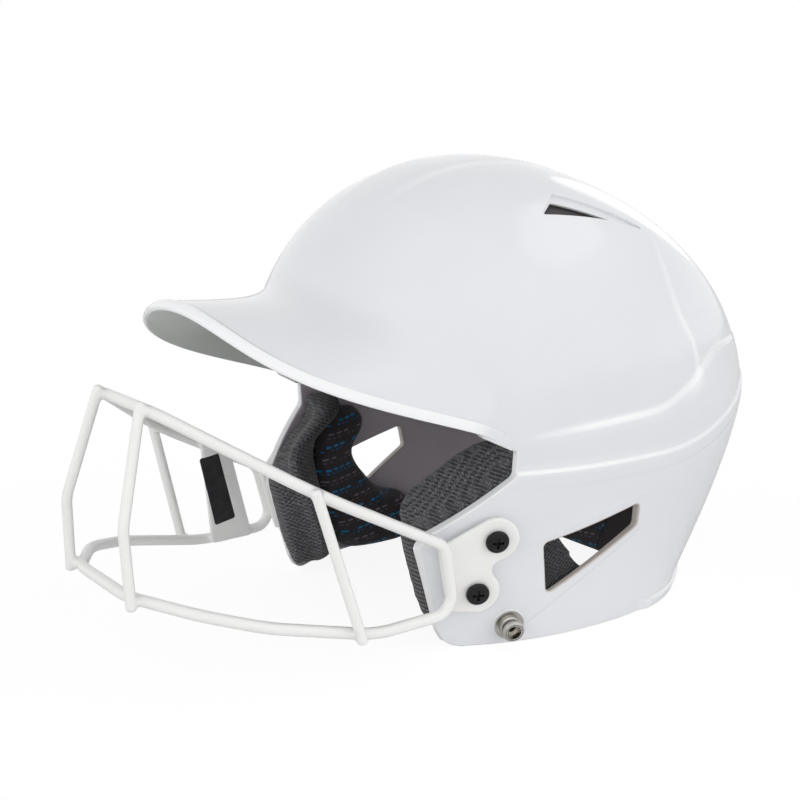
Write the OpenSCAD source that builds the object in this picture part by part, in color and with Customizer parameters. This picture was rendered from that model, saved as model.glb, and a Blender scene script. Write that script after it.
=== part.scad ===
// Softball batting helmet with a wire face guard. Millimetres.
// +X is the wearer's left, -Y is the front, +Z is up, and the ear flaps stand on z = 0.
// The origin is the middle of the head opening.

/* [Shell] */
// Half of the width over the ears
shell_half_w = 105; // [100:0.5:112]
// Reach of the dome in front of its middle
shell_front = 129; // [122:0.5:136]
// Reach of the dome behind its middle
shell_rear = 145; // [136:0.5:152]
// Height of the crown over the flap bottoms
shell_h = 223; // [214:0.5:234]
// Height of the widest section
equator_z = 101; // [96:0.5:108]
// Distance of the dome's middle behind the origin
dome_y = 15.5; // [8:0.5:22]
// Forward lean of the crown
crown_lean = 15; // [5:0.5:22]
// Thickness of the moulded wall
wall = 3.2; // [2.8:0.1:3.8]
// Share of the width by which the ear flaps tuck in at the bottom
flap_tuck = 0.153; // [0.1:0.005:0.19]
// Share of the length by which the nape tucks in at the bottom
nape_tuck = 0.326; // [0.26:0.005:0.36]
// Rise of the bottom edge at the middle of the nape
nape_rise = 10; // [4:0.5:16]
// Height of the stiffening flange round the nape
nape_flange_h = 4.6; // [3.5:0.1:6]
// Stand-out of the stiffening flange
nape_flange_t = 2.2; // [1.2:0.1:3]

/* [Bill] */
// Reach of the bill in front of the dome
bill_reach = 59; // [50:0.5:66]
// Height of the middle of the bill's lip at its tip
bill_z = 161; // [156:0.5:166]
// Drop of the lip from its tip to the temples
bill_drop = 60.4; // [57:0.2:62]
// Half of the angle round the head that the bill covers
bill_half_angle = 64; // [63:0.5:65]
// Share by which the bill narrows between its root and its tip
bill_pinch = 0.267; // [0.2:0.005:0.32]
// Spread of the lip beyond the dome's plan
bill_spread = 4.2; // [2:0.1:6]
// Thickness of the rolled lip
lip_t = 5.0; // [4.4:0.1:5.6]
// Height of the hollow fillet between the bill and the dome
bill_fillet = 10; // [7:0.5:16]
// Height of the lip at its tip over the bill's root
bill_root_drop = 2.5; // [1:0.5:5]
// Fall of the bill's root 60 mm beside the middle
bill_arch = 8.6; // [6:0.2:11]

/* [Shoulder lines] */
// Height of the upper shoulder line at the temple
belt_z = 101; // [99:0.5:103]
// Rise of the upper shoulder line round the back
belt_rise = 20; // [12:0.5:26]
// Ledge of the upper shoulder line
belt_ledge = 2.2; // [1:0.1:2.6]
// Height of the lower shoulder line over the ears
ear_line_z = 86.5; // [84:0.5:89]
// Rise of the lower shoulder line round the back
ear_line_rise = 28; // [20:0.5:34]
// Ledge of the lower shoulder line
ear_line_ledge = 1.2; // [0.6:0.1:1.8]

/* [Openings] */
// Front edge of the temples, behind which the face opening ends
temple_y = -43.4; // [-45:0.2:-41]
// Foremost point of the cheek edge
cheek_y = -79.5; // [-82:0.5:-76]
// Height of the foremost point of the cheek edge
cheek_z = 51; // [48:0.5:54]
// Corner radius of the face opening
face_corner_r = 4; // [2:0.5:6]
// Slope of the ear opening's upper edge in degrees
ear_slope = 13; // [10:0.5:16]
// Length of the ear opening
ear_len = 55; // [50:0.5:58]
// Height of the ear opening at its front
ear_front_h = 27; // [22:0.5:30]
// Height of the ear opening at its rear
ear_rear_h = 12; // [9:0.5:15]
// Corner radius of the ear opening
ear_corner_r = 2.2; // [1:0.1:3]
// Length of a crown vent
vent_len = 68; // [56:0.5:74]
// Width of a crown vent at its front
vent_w = 14; // [10:0.5:16]
// Depth of the scoop round a crown vent
vent_scoop = 1.7; // [1:0.1:2]
// Length of a rear vent
rear_vent_len = 30; // [22:0.5:36]
// Height of a rear vent
rear_vent_h = 8; // [6:0.5:10]
// Width of the raised panel on the crown
ridge_w = 44; // [36:0.5:52]
// Length of the raised panel on the crown
ridge_len = 96; // [80:0.5:110]
// Height of the raised panel on the crown
ridge_h = 1.2; // [0.6:0.1:1.8]

/* [Face guard] */
// Diameter of the hoop wire
wire_d = 5.5; // [5:0.1:6]
// Diameter of the upright wires
upright_d = 5; // [4.4:0.1:5.4]
// Height of the hoop's upper wire at its middle
guard_top_z = 120; // [116:0.5:124]
// Height of the hoop's lower wire at its middle
guard_low_z = 40.5; // [37:0.5:44]
// Reach of the middle of the lower wire in front of the origin
guard_front = 203.5; // [198:0.5:208]
// Half of the guard's width at its sides
guard_half_w = 78; // [76:0.5:80]
// Half of the distance between the middle uprights at the top
upright_half_gap = 22.5; // [19:0.5:25]
// Bend radius at the ends of the hoop
hoop_end_r = 9; // [7:0.5:11]
// Thickness of a mounting plate
plate_t = 2.6; // [2:0.1:3]
// Radius of the plate's lobes round the screws
lobe_r = 10.8; // [9.8:0.1:11.6]
// Thickness of the label plate
label_plate_t = 1.6; // [1.2:0.1:2.4]

/* [Fasteners] */
// Shank diameter of the guard screws
screw_d = 5; // [4.6:0.1:5.4]
// Head diameter of the guard screws
screw_head_d = 11; // [10.2:0.1:12]
// Head height of the guard screws
screw_head_h = 3.4; // [2.8:0.1:4]
// Distance between the two screws of a side along the plate
screw_pitch = 27.3; // [26.5:0.1:28.5]
// Height of the upper screw
screw_z = 57.3; // [55:0.1:59]
// Flange diameter of the nuts inside the shell
nut_flange_d = 13; // [12:0.2:15]
// Depth of the nuts inside the shell
nut_h = 7; // [6:0.2:9]
// Height of the strap studs
stud_z = 10.5; // [10:0.5:13]
// Outer diameter of a strap stud
stud_d = 10.4; // [9:0.2:11.6]
// Bore of a strap stud
stud_bore_d = 6.4; // [5.4:0.1:7]
// Stand-out of a strap stud
stud_len = 6.8; // [5:0.2:8]
// Diameter of the washer under a strap stud
stud_washer_d = 14.4; // [13:0.2:15.6]

/* [Padding] */
// Thickness of the crown pad
crown_pad_t = 12; // [8:0.5:14]
// Thickness of the forehead pad
brow_pad_t = 13; // [9:0.5:15]
// Thickness of the rear and temple pads
side_pad_t = 13; // [9:0.5:15]
// Thickness of the ear pads
ear_pad_t = 18; // [14:0.5:22]
// Clearance between a pad and the wall
pad_gap = 0.3; // [0.2:0.05:0.5]

/* [Hidden] */

// Fits
screw_clear = 0.3;
nut_clear = 0.05;
seat_gap = 0.05;
// The pads also stay clear of the chords of the shell's mesh
wall_gap = pad_gap + 0.6;
weld_gap = 0.1;
eps = 0.01;

// Exponents of the shell's sections
section_n = 2.21;
front_round = 2.04;
rear_round = 1.82;
side_round = 2.21;

// Counts of the shell's mesh
cols = 76;
dome_rows = 8;
flare_rows = 6;
wall_rows = 4;
inner_rows = 8;

// Small helpers
function ramp(a, b, v) = let (u = max(0, min(1, (v - a) / (b - a)))) u * u * (3 - 2 * u);
function lerp(a, b, u) = a + (b - a) * u;
function spow(v, e) = sign(v) * pow(abs(v), e);
function round_off(k, m) = pow(max(0, 1 - pow(k, m)), 1 / m);
function unit(v) = v / norm(v);
function turned_y(v, a) = [v.x * cos(a) + v.z * sin(a), v.y, v.z * cos(a) - v.x * sin(a)];
function turned_z(v, a) = [v.x * cos(a) - v.y * sin(a), v.x * sin(a) + v.y * cos(a), v.z];

// The smooth skin: superellipse sections over the height, inset by o.
// Column angle t is 0 at the left ear, 90 at the nape and -90 at the brow.
function rise(z, o) = z > equator_z ? min(1, (z - equator_z) / (shell_h - o - equator_z)) : 0;
function drop(z) = z < equator_z ? (equator_z - z) / equator_z : 0;
function half_w(z, o) = (shell_half_w * (1 - flap_tuck * pow(drop(z), 1.38)) - o)
    * round_off(rise(z, o), side_round);
function front_len(z, o) = (shell_front * (1 - 0.1 * pow(drop(z), 1.5)) - o)
    * round_off(rise(z, o), front_round);
function rear_len(z, o) = (shell_rear * (1 - nape_tuck * pow(drop(z), 1.41)) - o)
    * round_off(rise(z, o), rear_round);
function mid_y(z, o) = dome_y - crown_lean * pow(rise(z, o), 2);
function skin(t, z, o) = [half_w(z, o) * spow(cos(t), 2 / section_n),
    mid_y(z, o) + (sin(t) < 0 ? front_len(z, o) : rear_len(z, o)) * spow(sin(t), 2 / section_n), z];
function crown(o) = [0, mid_y(shell_h, 0), shell_h - o];
function dome_point(t, lift, o) = skin(t, equator_z + (shell_h - o - equator_z) * sin(lift), o);
function lift_of(z, o) = asin(min(1, max(0, (z - equator_z) / (shell_h - o - equator_z))));
// The side wall's half width at a place (y, z)
function side_x(y, z, o) = let (d = y - mid_y(z, o), l = d < 0 ? front_len(z, o) : rear_len(z, o))
    half_w(z, o) * pow(max(0.0001, 1 - pow(min(1, abs(d) / l), section_n)), 1 / section_n);
// Outward direction of the skin at column t and height z
function skin_normal(t, z) = unit(cross(skin(t + 1, z, 0) - skin(t - 1, z, 0),
    skin(t, z + 1, 0) - skin(t, z - 1, 0)));

// Columns folded onto one side, and the two shoulder lines
function fold(t) = abs(t) <= 90 ? t : sign(t) * (180 - abs(t));
function bill_share(q) = min(1, (q + 90) / bill_half_angle);
function in_bill(q) = q < bill_half_angle - 90;
function lip_z(q) = bill_z - bill_drop * pow(bill_share(q), 1.857);
function lip_reach(q) = bill_reach * pow(1 - pow(bill_share(q), 5.8), 2);
function belt_line(q) = belt_z + 0.155 * (min(q, 32) + 26) + belt_rise * ramp(5, 32, q);
function ear_line(q) = ear_line_z + ear_line_rise * ramp(8, 68, q);
function belt_step(q) = belt_ledge * ramp(-27, -4, q) * (1 - 0.75 * ramp(22, 50, q));
function ear_step(q) = ear_line_ledge * (1 - 0.7 * ramp(30, 70, q));
function edge_z(q) = nape_rise * ramp(35, 90, q);
function flange(q) = nape_flange_t * ramp(15, 20, q);
function root_z(q) = bill_z - bill_root_drop - bill_arch * pow(skin(q, 155, 0).x / 60, 2);
function flare_top(q) = lerp(root_z(-90) + bill_fillet, belt_line(q) + 50, ramp(-90, -26, q));
function under_z(q) = in_bill(q)
    ? lerp(root_z(q) - wall, lip_z(q) - lip_t / 2 + 0.5, ramp(-52, -31, q)) : ear_line(q) - 8;

// A point of the bill: the dome's own column pushed forward by r
function bill_point(t, z, r) = let (q = fold(t), s = bill_share(q),
    p = skin(t, z, -bill_spread * r / bill_reach),
    pinch = 1 - bill_pinch * s * pow(1 - s, 1.45) * r / bill_reach) [p.x * pinch, p.y - r, z];
// A curve that leaves the dome along its wall and ends flat in the lip
function flare_point(t, u) = let (q = fold(t), reach = in_bill(q) ? max(0, lip_reach(q) - 4) : 0,
        end_z = in_bill(q) ? lip_z(q) + lip_t / 2 - 0.6 : belt_line(q) + 1.4,
        knee = in_bill(q) ? lerp(root_z(q), end_z, 0.6 * ramp(-62, -28, q)) : end_z + 6.5, v = 1 - u,
        z = v * v * v * flare_top(q) + 3 * u * v * v * knee
            + 3 * u * u * v * lerp(end_z, knee, 0.68) + u * u * u * end_z,
        r = (3 * u * u * v * 0.32 + u * u * u) * reach,
        fade = 1 - max(0, (z - end_z) / (flare_top(q) - end_z)))
    in_bill(q) ? bill_point(t, z, r) : skin(t, z, 0.6 * belt_step(q) * fade * fade);
// The lip in front, and the two ledges on the sides and at the back
function lip_point(t, i) = let (q = fold(t), c = lip_z(q), r = lip_reach(q))
    i == 0 ? bill_point(t, c + lip_t / 2, r - 1.8) :
    i == 1 ? bill_point(t, c + lip_t / 4, r) :
    i == 2 ? bill_point(t, c - lip_t / 4, r) :
    i == 3 ? bill_point(t, c - lip_t / 2, r - 1.8) :
    i == 4 ? bill_point(t, lerp(c - lip_t / 2, under_z(q), 0.6), r / 2) :
    bill_point(t, under_z(q), 0);
function panel_out(q, z) = -(0.4 * belt_step(q) + ear_step(q)) * ramp(15, ear_line(q), z);
function ledge_point(t, i) = let (q = fold(t), a = belt_line(q), b = ear_line(q))
    i == 0 ? skin(t, a, -0.4 * belt_step(q)) :
    i == 1 ? skin(t, (a + b) / 2, -0.4 * belt_step(q)) :
    i == 2 ? skin(t, b + 1.1, -0.4 * belt_step(q)) :
    i == 3 ? skin(t, b, panel_out(q, b)) :
    i == 4 ? skin(t, b - 4, panel_out(q, b - 4)) :
    skin(t, under_z(q), panel_out(q, under_z(q)));
function band_point(t, i) = in_bill(fold(t)) ? lip_point(t, i) : ledge_point(t, i);
function wall_point(t, u) = let (q = fold(t),
        z = lerp(under_z(q), edge_z(q) + nape_flange_h + 0.9, u)) skin(t, z, panel_out(q, z));

function outer_column(t) = let (q = fold(t), top = lift_of(flare_top(q), 0), z = edge_z(q)) concat(
    [for (j = [1:dome_rows]) dome_point(t, lerp(90, top, j / dome_rows), 0)],
    [for (j = [1:flare_rows]) flare_point(t, j / flare_rows)],
    [for (i = [0:5]) band_point(t, i)],
    [for (j = [1:wall_rows]) wall_point(t, j / wall_rows)],
    [skin(t, z + nape_flange_h, -flange(q)), skin(t, z + 0.8, -flange(q)), skin(t, z, 0.5 - flange(q))]);
function inner_column(t) = let (q = fold(t), z = edge_z(q), top = lift_of(flare_top(q), wall)) concat(
    [skin(t, z, wall - 0.4)],
    [for (u = [0.1, 0.33, 0.56, 0.76, 0.9, 1]) skin(t, lerp(z, under_z(q), u), wall)],
    [for (u = [0.25, 0.5, 0.75]) skin(t, lerp(under_z(q), flare_top(q), u), wall)],
    [for (j = [0:inner_rows - 1]) dome_point(t, lerp(top, 90, j / inner_rows), wall)]);

// Closed skin over rings of equal count, from a first pole to a last pole
module lofted(first, rings, last) {
    n = len(rings[0]);
    m = len(rings);
    polyhedron(points = concat([first], [for (r = rings, p = r) p], [last]), convexity = 8,
        faces = concat([for (i = [0:n - 1]) [0, 1 + (i + 1) % n, 1 + i]],
            [for (k = [0:m - 2], i = [0:n - 1]) let (a = 1 + k * n + i, b = 1 + k * n + (i + 1) % n)
                [a, b, b + n]],
            [for (k = [0:m - 2], i = [0:n - 1]) let (a = 1 + k * n + i, b = 1 + k * n + (i + 1) % n)
                [a, b + n, a + n]],
            [for (i = [0:n - 1]) [1 + m * n, 1 + (m - 1) * n + i, 1 + (m - 1) * n + (i + 1) % n]]));
}
function rings_of(columns) = [for (k = [0:len(columns[0]) - 1]) [for (c = columns) c[k]]];

module raw_shell() {
    columns = [for (i = [0:cols - 1]) let (t = -180 + 360 * i / cols)
        concat(outer_column(t), inner_column(t))];
    lofted(crown(0), rings_of(columns), crown(wall));
}

// The dome alone, inset by o, for what is cut into the crown or laid on it
module dome_body(o) {
    columns = [for (i = [0:47]) let (t = -180 + 7.5 * i) [for (j = [1:9]) dome_point(t, 90 - 9 * j, o)]];
    lofted(crown(o), rings_of(columns), [0, 0, equator_z]);
}

// Places on the shell where things are fastened: [point, yaw, tilt]
screw_t = -29.15;
stud_t = -24.1;
function yaw_of(v) = atan2(v.y, v.x);
function tilt_of(v) = -asin(v.z);
plate_yaw = yaw_of(skin_normal(screw_t - 2, screw_z - screw_pitch / 2));
plate_tilt = tilt_of(skin_normal(screw_t - 2, screw_z - screw_pitch / 2));
plate_stand = 2.5;
plate_origin = skin(screw_t, screw_z, panel_out(screw_t, screw_z))
    + plate_stand * turned_z(turned_y([1, 0, 0], plate_tilt), plate_yaw);
lower_screw_at = [-7.8, -sqrt(screw_pitch * screw_pitch - 7.8 * 7.8)];
stud_normal = skin_normal(stud_t, stud_z);
stud_at = skin(stud_t, stud_z, panel_out(stud_t, stud_z)) + 0.5 * stud_normal;

// Plate frame: x rearward, y up along the plate, z outward, with z = 0 on the plate's back
function plate_to_world(p) = plate_origin
    + turned_z(turned_y([p.z, p.x, p.y], plate_tilt), plate_yaw);
module on_plate() {
    translate(plate_origin) rotate([0, plate_tilt, plate_yaw]) rotate([90, 0, 90]) children();
}
module on_stud() {
    translate(stud_at) rotate([0, tilt_of(stud_normal), yaw_of(stud_normal)]) rotate([0, 90, 0])
        children();
}
module screw_places() {
    on_plate() children();
    on_plate() translate([lower_screw_at.x, lower_screw_at.y, 0]) children();
}
module both_sides() {
    children();
    mirror([1, 0, 0]) children();
}

// Side outlines as [y, z]
lip_bottom = [for (q = [-30, -34, -38, -41]) let (p = lip_point(q, 3)) [p.y, p.z - 0.6]];
face_outline = [[temple_y, belt_z - 2.6], each lip_bottom, [-260, lip_bottom[3].y], [-260, -20],
    [cheek_y + 25.5, -20], [cheek_y + 24.5, -0.4], [cheek_y + 19, 0.8], [cheek_y + 14.9, 3.6],
    [cheek_y + 12, 9],
    [cheek_y, cheek_z], [cheek_y + 3, cheek_z + 7],
    [temple_y, belt_z - 15.8]];
ear_front = [temple_y + 17.6, ear_line_z - 35.9];
ear_outline = [ear_front, ear_front + ear_len * [cos(ear_slope), sin(ear_slope)],
    ear_front + ear_len * [cos(ear_slope), sin(ear_slope)] + [1, -ear_rear_h],
    ear_front + [6, -ear_front_h]];

module side_prism(outline, r) {
    rotate([90, 0, 90]) translate([0, 0, -150]) linear_extrude(300)
        offset(r) offset(-2 * r) offset(r) polygon(outline);
}
// Removes the dome's wall under the bill, up to the bill's underside
module brow_cut() {
    span = bill_half_angle - 1.5;
    n = 36;
    m = 5;
    grid = [for (i = [0:n]) let (t = -90 - span + 2 * span * i / n, q = fold(t),
            top = under_z(q) - 0.25 - 5 * ramp(-41, -34, q))
        [for (j = [0:m]) [t, lerp(92, top, j / m)]]];
    patch([for (r = grid) [for (g = r) skin(g.x, g.y, -2)]],
        [for (r = grid) [for (g = r) skin(g.x, g.y, wall + 8)]]);
}

// Crown vents: a scooped triangle that tapers rearward, with a hole in its front part
vent_at = [0.6095 * shell_half_w, dome_y + 4.5, shell_h - 24];
vent_turn = 42;
vent_front = -27;
vent_outline = [[2, vent_front], [2.8 - vent_w, vent_front + 15], [11, vent_front + vent_len]];
vent_hole = [[1.4, vent_front + 2], [-vent_w / 3, vent_front + 10], [8, vent_front + 0.62 * vent_len]];
module vent_prism(outline) {
    translate(vent_at) rotate([0, vent_turn, 0]) translate([0, 0, -20]) linear_extrude(60)
        offset(0.8, $fn = 16) offset(-0.8) polygon(outline);
}
module vents() {
    both_sides() {
        vent_prism(vent_hole);
        difference() {
            vent_prism(vent_outline);
            dome_body(vent_scoop);
        }
    }
}
// Rear vents: slanted slots low on the rear quarters
rear_vent_t = 46;
rear_vent_z = 45;
rear_vent_slant = 58;
module rear_vents() {
    p = skin(rear_vent_t, rear_vent_z, 0);
    both_sides() translate(p) rotate([0, 14, 40]) rotate([90, 0, 90]) rotate([0, 0, rear_vent_slant])
        hull() for (d = [-1, 1]) translate([d * (rear_vent_len - rear_vent_h) / 2, 0, -9])
            cylinder(h = 24, r = rear_vent_h / 2, $fn = 20);
}
// Raised panel along the crown, which runs out to nothing at both ends
module crown_ridge() {
    mid = dome_y - crown_lean;
    difference() {
        intersection() {
            translate([0, mid, ridge_h]) scale([1, 0.965, 1]) translate([0, -mid, 0]) dome_body(0);
            translate([0, dome_y - 13.5, shell_h - 40]) linear_extrude(60) polygon([
                [-ridge_w / 2.6, -ridge_len], [ridge_w / 2.6, -ridge_len], [ridge_w / 2, 0],
                [ridge_w / 2.6, ridge_len], [-ridge_w / 2.6, ridge_len], [-ridge_w / 2, 0]]);
        }
        dome_body(1);
    }
}
// Flat bosses that the mounting plates seat on
module boss(stand, r) {
    hull() {
        translate([0, 0, -seat_gap - 0.5]) cylinder(h = 0.5, r = r, $fn = 32);
        translate([0, 0, -stand - 1.6]) cylinder(h = 0.5, r = r + 2, $fn = 32);
    }
}
module bosses() {
    both_sides() {
        screw_places() boss(plate_stand, lobe_r - 3.4);
        on_stud() boss(0.5, stud_washer_d / 2 + 0.4);
    }
}

module shell() {
    color("whitesmoke") difference() {
        union() {
            difference() {
                raw_shell();
                brow_cut();
                side_prism(face_outline, face_corner_r);
                side_prism(ear_outline, ear_corner_r);
                vents();
                rear_vents();
            }
            crown_ridge();
            bosses();
        }
        both_sides() {
            screw_places() translate([0, 0, -20])
                cylinder(h = 40, r = screw_d / 2 + screw_clear, $fn = 32);
            on_stud() translate([0, 0, -20]) cylinder(h = 40, r = 2.5 + screw_clear, $fn = 24);
        }
    }
}

// Face guard wires: straight runs with a true bend at each corner
function bend(p, a, b, r, n) = let (u = unit(p - a), v = unit(b - p), turn = acos(u * v),
        back = r * tan(turn / 2), side = unit(v - (u * v) * u), c = p - back * u + r * side)
    [for (i = [0:n]) c + r * (sin(turn * i / n) * u - cos(turn * i / n) * side)];
function bent_path(pts, radii, n) = concat([pts[0]],
    [for (i = [1:len(pts) - 2]) each bend(pts[i], pts[i - 1], pts[i + 1], radii[i], n)],
    [pts[len(pts) - 1]]);
function ring_at(p, tangent, out, r, sides) = let (n = unit(out - (out * tangent) * tangent),
        b = cross(tangent, n)) [for (i = [0:sides - 1]) p + r * (cos(360 * i / sides) * n
        + sin(360 * i / sides) * b)];
function tangent_at(path, i, closed) = let (n = len(path)) closed
    ? unit(path[(i + 1) % n] - path[(i + n - 1) % n])
    : unit(path[min(n - 1, i + 1)] - path[max(0, i - 1)]);
function outward(p) = [p.x, p.y + 95, 0];
module wire(path, d, closed, sides) {
    n = len(path);
    rings = [for (i = [0:n - 1]) ring_at(path[i], tangent_at(path, i, closed), outward(path[i]),
        d / 2, sides)];
    sides_of = [for (i = [0:(closed ? n - 1 : n - 2)], k = [0:sides - 1])
        let (a = i * sides + k, b = i * sides + (k + 1) % sides,
            c = ((i + 1) % n) * sides + (k + 1) % sides, d = ((i + 1) % n) * sides + k)
        each [[a, c, b], [a, d, c]]];
    caps = closed ? [] : [[for (k = [0:sides - 1]) k],
        [for (k = [sides - 1:-1:0]) (n - 1) * sides + k]];
    polyhedron(points = [for (r = rings, p = r) p], faces = concat(sides_of, caps), convexity = 10);
}
function left_right(half) = concat(half, [for (i = [len(half) - 1:-1:0]) [-half[i].x, half[i].y, half[i].z]]);

// Corners of the hoop on the left, from the upper middle round the plate to the lower middle
on_face = plate_t + wire_d / 2 + weld_gap;
hoop_top = [upright_half_gap + 5.5, 16.7 - guard_front, guard_top_z];
hoop_side = [guard_half_w, 66.3 - guard_front, guard_top_z - 32.2];
hoop_end_top = plate_to_world([-24.6, 0.4, on_face]);
hoop_end_low = plate_to_world([-18.6, -33.8, on_face]);
hoop_low = [[guard_half_w + 5.3, 91.8 - guard_front, guard_low_z - 19.1],
    [guard_half_w - 3.3, 43.5 - guard_front, guard_low_z - 8.5],
    [guard_half_w - 19.8, 19.6 - guard_front, guard_low_z - 2.8],
    [upright_half_gap + 3, 0.9 - guard_front, guard_low_z]];
hoop_corners = concat([hoop_top, hoop_side, hoop_end_top, hoop_end_low], hoop_low);
hoop_radii = [14, 60, hoop_end_r, hoop_end_r, 60, 40, 40, 30];
hoop_points = left_right(hoop_corners);
hoop_bends = left_right([for (r = hoop_radii) [r, 0, 0]]);
hoop_path = let (n = len(hoop_points)) [for (i = [0:n - 1]) each bend(hoop_points[i],
    hoop_points[(i + n - 1) % n], hoop_points[(i + 1) % n], abs(hoop_bends[i].x), 4)];
module guard_hoop() {
    color("white") wire(hoop_path, wire_d, true, 10);
}

// Uprights lie against the outside of the hoop and end just past it
lap = wire_d / 2 + upright_d / 2 + weld_gap;
over = 3.3;
function lapped(foot, tangent, along) = foot + lap * unit(cross(tangent, along));
knee = [upright_half_gap + 8.8, -guard_front - 2, 72.5];
center_foot = [lerp(hoop_low[2], hoop_low[3], 0.84), hoop_low[2] - hoop_low[3]];
center_top = lapped([upright_half_gap, hoop_top.y, hoop_top.z], [-1, 0, 0], [8.8, -15, -51]);
center_low = lapped(center_foot[0], center_foot[1], [-1.9, -1.5, 32]);
side_bend = bend(hoop_side, hoop_top, hoop_end_top, hoop_radii[1], 2);
side_along = [5.5, 15, -66.3];
side_top = lapped(side_bend[1], side_bend[0] - side_bend[2], side_along);
side_low = lapped(lerp(hoop_low[0], hoop_low[1], 0.18), hoop_low[0] - hoop_low[1], -side_along);
module center_upright() {
    top = center_top + over * unit(center_top - knee);
    low = center_low + over * unit(center_low - knee);
    wire(bent_path([top, knee, low], [0, 20, 0], 4), upright_d, false, 10);
}
module side_upright() {
    wire([side_top + over * unit(side_top - side_low), side_low + over * unit(side_low - side_top)],
        upright_d, false, 10);
}
module guard_upright_center_left() { color("white") center_upright(); }
module guard_upright_center_right() { color("white") mirror([1, 0, 0]) center_upright(); }
module guard_upright_side_left() { color("white") side_upright(); }
module guard_upright_side_right() { color("white") mirror([1, 0, 0]) side_upright(); }

// Mounting plate: two lobes round the screws, and a front edge under the hoop's end
module plate_outline() {
    offset(-5, $fn = 24) offset(5) {
        hull() {
            circle(lobe_r, $fn = 40);
            translate([-23.8, -4.4]) circle(2.8, $fn = 24);
            translate([-22, -16]) circle(2.8, $fn = 24);
        }
        hull() {
            translate(lower_screw_at) circle(lobe_r, $fn = 40);
            translate([-18.8, -33]) circle(2.8, $fn = 24);
            translate([-22, -16]) circle(2.8, $fn = 24);
        }
    }
}
module guard_plate() {
    on_plate() difference() {
        linear_extrude(plate_t) plate_outline();
        for (p = [[0, 0], lower_screw_at]) translate([p.x, p.y, -1])
            cylinder(h = plate_t + 2, r = screw_d / 2 + screw_clear, $fn = 32);
    }
}
module guard_plate_left() { color("white") guard_plate(); }
module guard_plate_right() { color("white") mirror([1, 0, 0]) guard_plate(); }

// Flat plate behind the upper and lower wires on the wearer's right
label_in = [-(wire_d / 2 + 0.25 + label_plate_t), 0, 0];
module guard_label_plate() {
    corners = [lerp(hoop_side, hoop_end_top, 0.42), lerp(hoop_side, hoop_end_top, 0.66),
        lerp(hoop_end_low, hoop_low[0], 0.4), lerp(hoop_end_low, hoop_low[0], 0.86)];
    color("white") mirror([1, 0, 0]) hull() for (c = corners) translate(c + label_in)
        rotate([0, 90, 0]) cylinder(h = label_plate_t, r = 2, $fn = 20);
}

// Guard screw: pan head with a cross recess, on the plate's outer face
module guard_screw() {
    difference() {
        union() {
            translate([0, 0, plate_t + seat_gap]) rotate_extrude($fn = 48) polygon(concat([[0, 0]],
                [for (a = [0:15:90]) [screw_head_d / 2 - 1.4 + 1.4 * cos(a),
                    screw_head_h - 2 + 1.4 * sin(a)]],
                [[screw_head_d / 4, screw_head_h - 0.2], [0, screw_head_h]],
                []));
            translate([0, 0, -plate_stand - wall - nut_h])
                cylinder(h = plate_stand + wall + nut_h + plate_t + 1, r = screw_d / 2, $fn = 32);
        }
        for (a = [0, 90]) rotate(a) translate([-2.7, -0.55, plate_t + screw_head_h - 1.7])
            cube([5.4, 1.1, 4]);
    }
}
module upper_screw() { on_plate() guard_screw(); }
module lower_screw() { on_plate() translate([lower_screw_at.x, lower_screw_at.y, 0]) guard_screw(); }
module guard_screw_upper_left() { color("black") upper_screw(); }
module guard_screw_lower_left() { color("black") lower_screw(); }
module guard_screw_upper_right() { color("black") mirror([1, 0, 0]) upper_screw(); }
module guard_screw_lower_right() { color("black") mirror([1, 0, 0]) lower_screw(); }

// Flanged nut inside the wall; the screw runs in its bore
nut_face = -plate_stand - wall - 1.6;
module guard_nut() {
    difference() {
        union() {
            translate([0, 0, nut_face - 1.4]) cylinder(h = 1.4, r = nut_flange_d / 2, $fn = 40);
            translate([0, 0, nut_face - nut_h + 1]) cylinder(h = nut_h - 1.8, r = screw_d / 2 + 1.6, $fn = 6);
        }
        translate([0, 0, nut_face - nut_h - 1])
            cylinder(h = nut_h + 4, r = screw_d / 2 + nut_clear, $fn = 32);
    }
}
module guard_nuts_left() { color("silver") screw_places() guard_nut(); }
module guard_nuts_right() { color("silver") mirror([1, 0, 0]) screw_places() guard_nut(); }

// Strap stud: a hollow ring on a washer, with its own screw stem through the wall
washer_t = 1.2;
module strap_stud() {
    on_stud() {
        difference() {
            translate([0, 0, washer_t + seat_gap]) rotate_extrude($fn = 48) polygon([[0, 0],
                [stud_d / 2 - 0.2, 0], [stud_d / 2 - 0.2, 1], [stud_d / 2 - 1.1, 1.6],
                [stud_d / 2 - 1.1, stud_len - 3], [stud_d / 2, stud_len - 2.2],
                [stud_d / 2, stud_len - 0.9], [stud_d / 2 - 0.8, stud_len - 0.2],
                [stud_bore_d / 2 + 0.2, stud_len - 0.2], [stud_bore_d / 2, stud_len - 0.8],
                [stud_bore_d / 2, 2.4], [0, 2.4]]);
            for (a = [0, 90]) rotate(a) translate([-1.6, -0.35, washer_t + 1.6]) cube([3.2, 0.7, 4]);
        }
        translate([0, 0, -wall - 6]) cylinder(h = wall + 6 + washer_t + 0.6, r = 2.5, $fn = 32);
    }
}
module strap_stud_left() { color("gainsboro") strap_stud(); }
module strap_stud_right() { color("gainsboro") mirror([1, 0, 0]) strap_stud(); }
module stud_washer() {
    on_stud() difference() {
        cylinder(h = washer_t, r = stud_washer_d / 2, $fn = 48);
        translate([0, 0, -1]) cylinder(h = washer_t + 2, r = 2.5 + screw_clear, $fn = 32);
    }
}
module strap_stud_washer_left() { color("lightgray") stud_washer(); }
module strap_stud_washer_right() { color("lightgray") mirror([1, 0, 0]) stud_washer(); }
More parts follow.
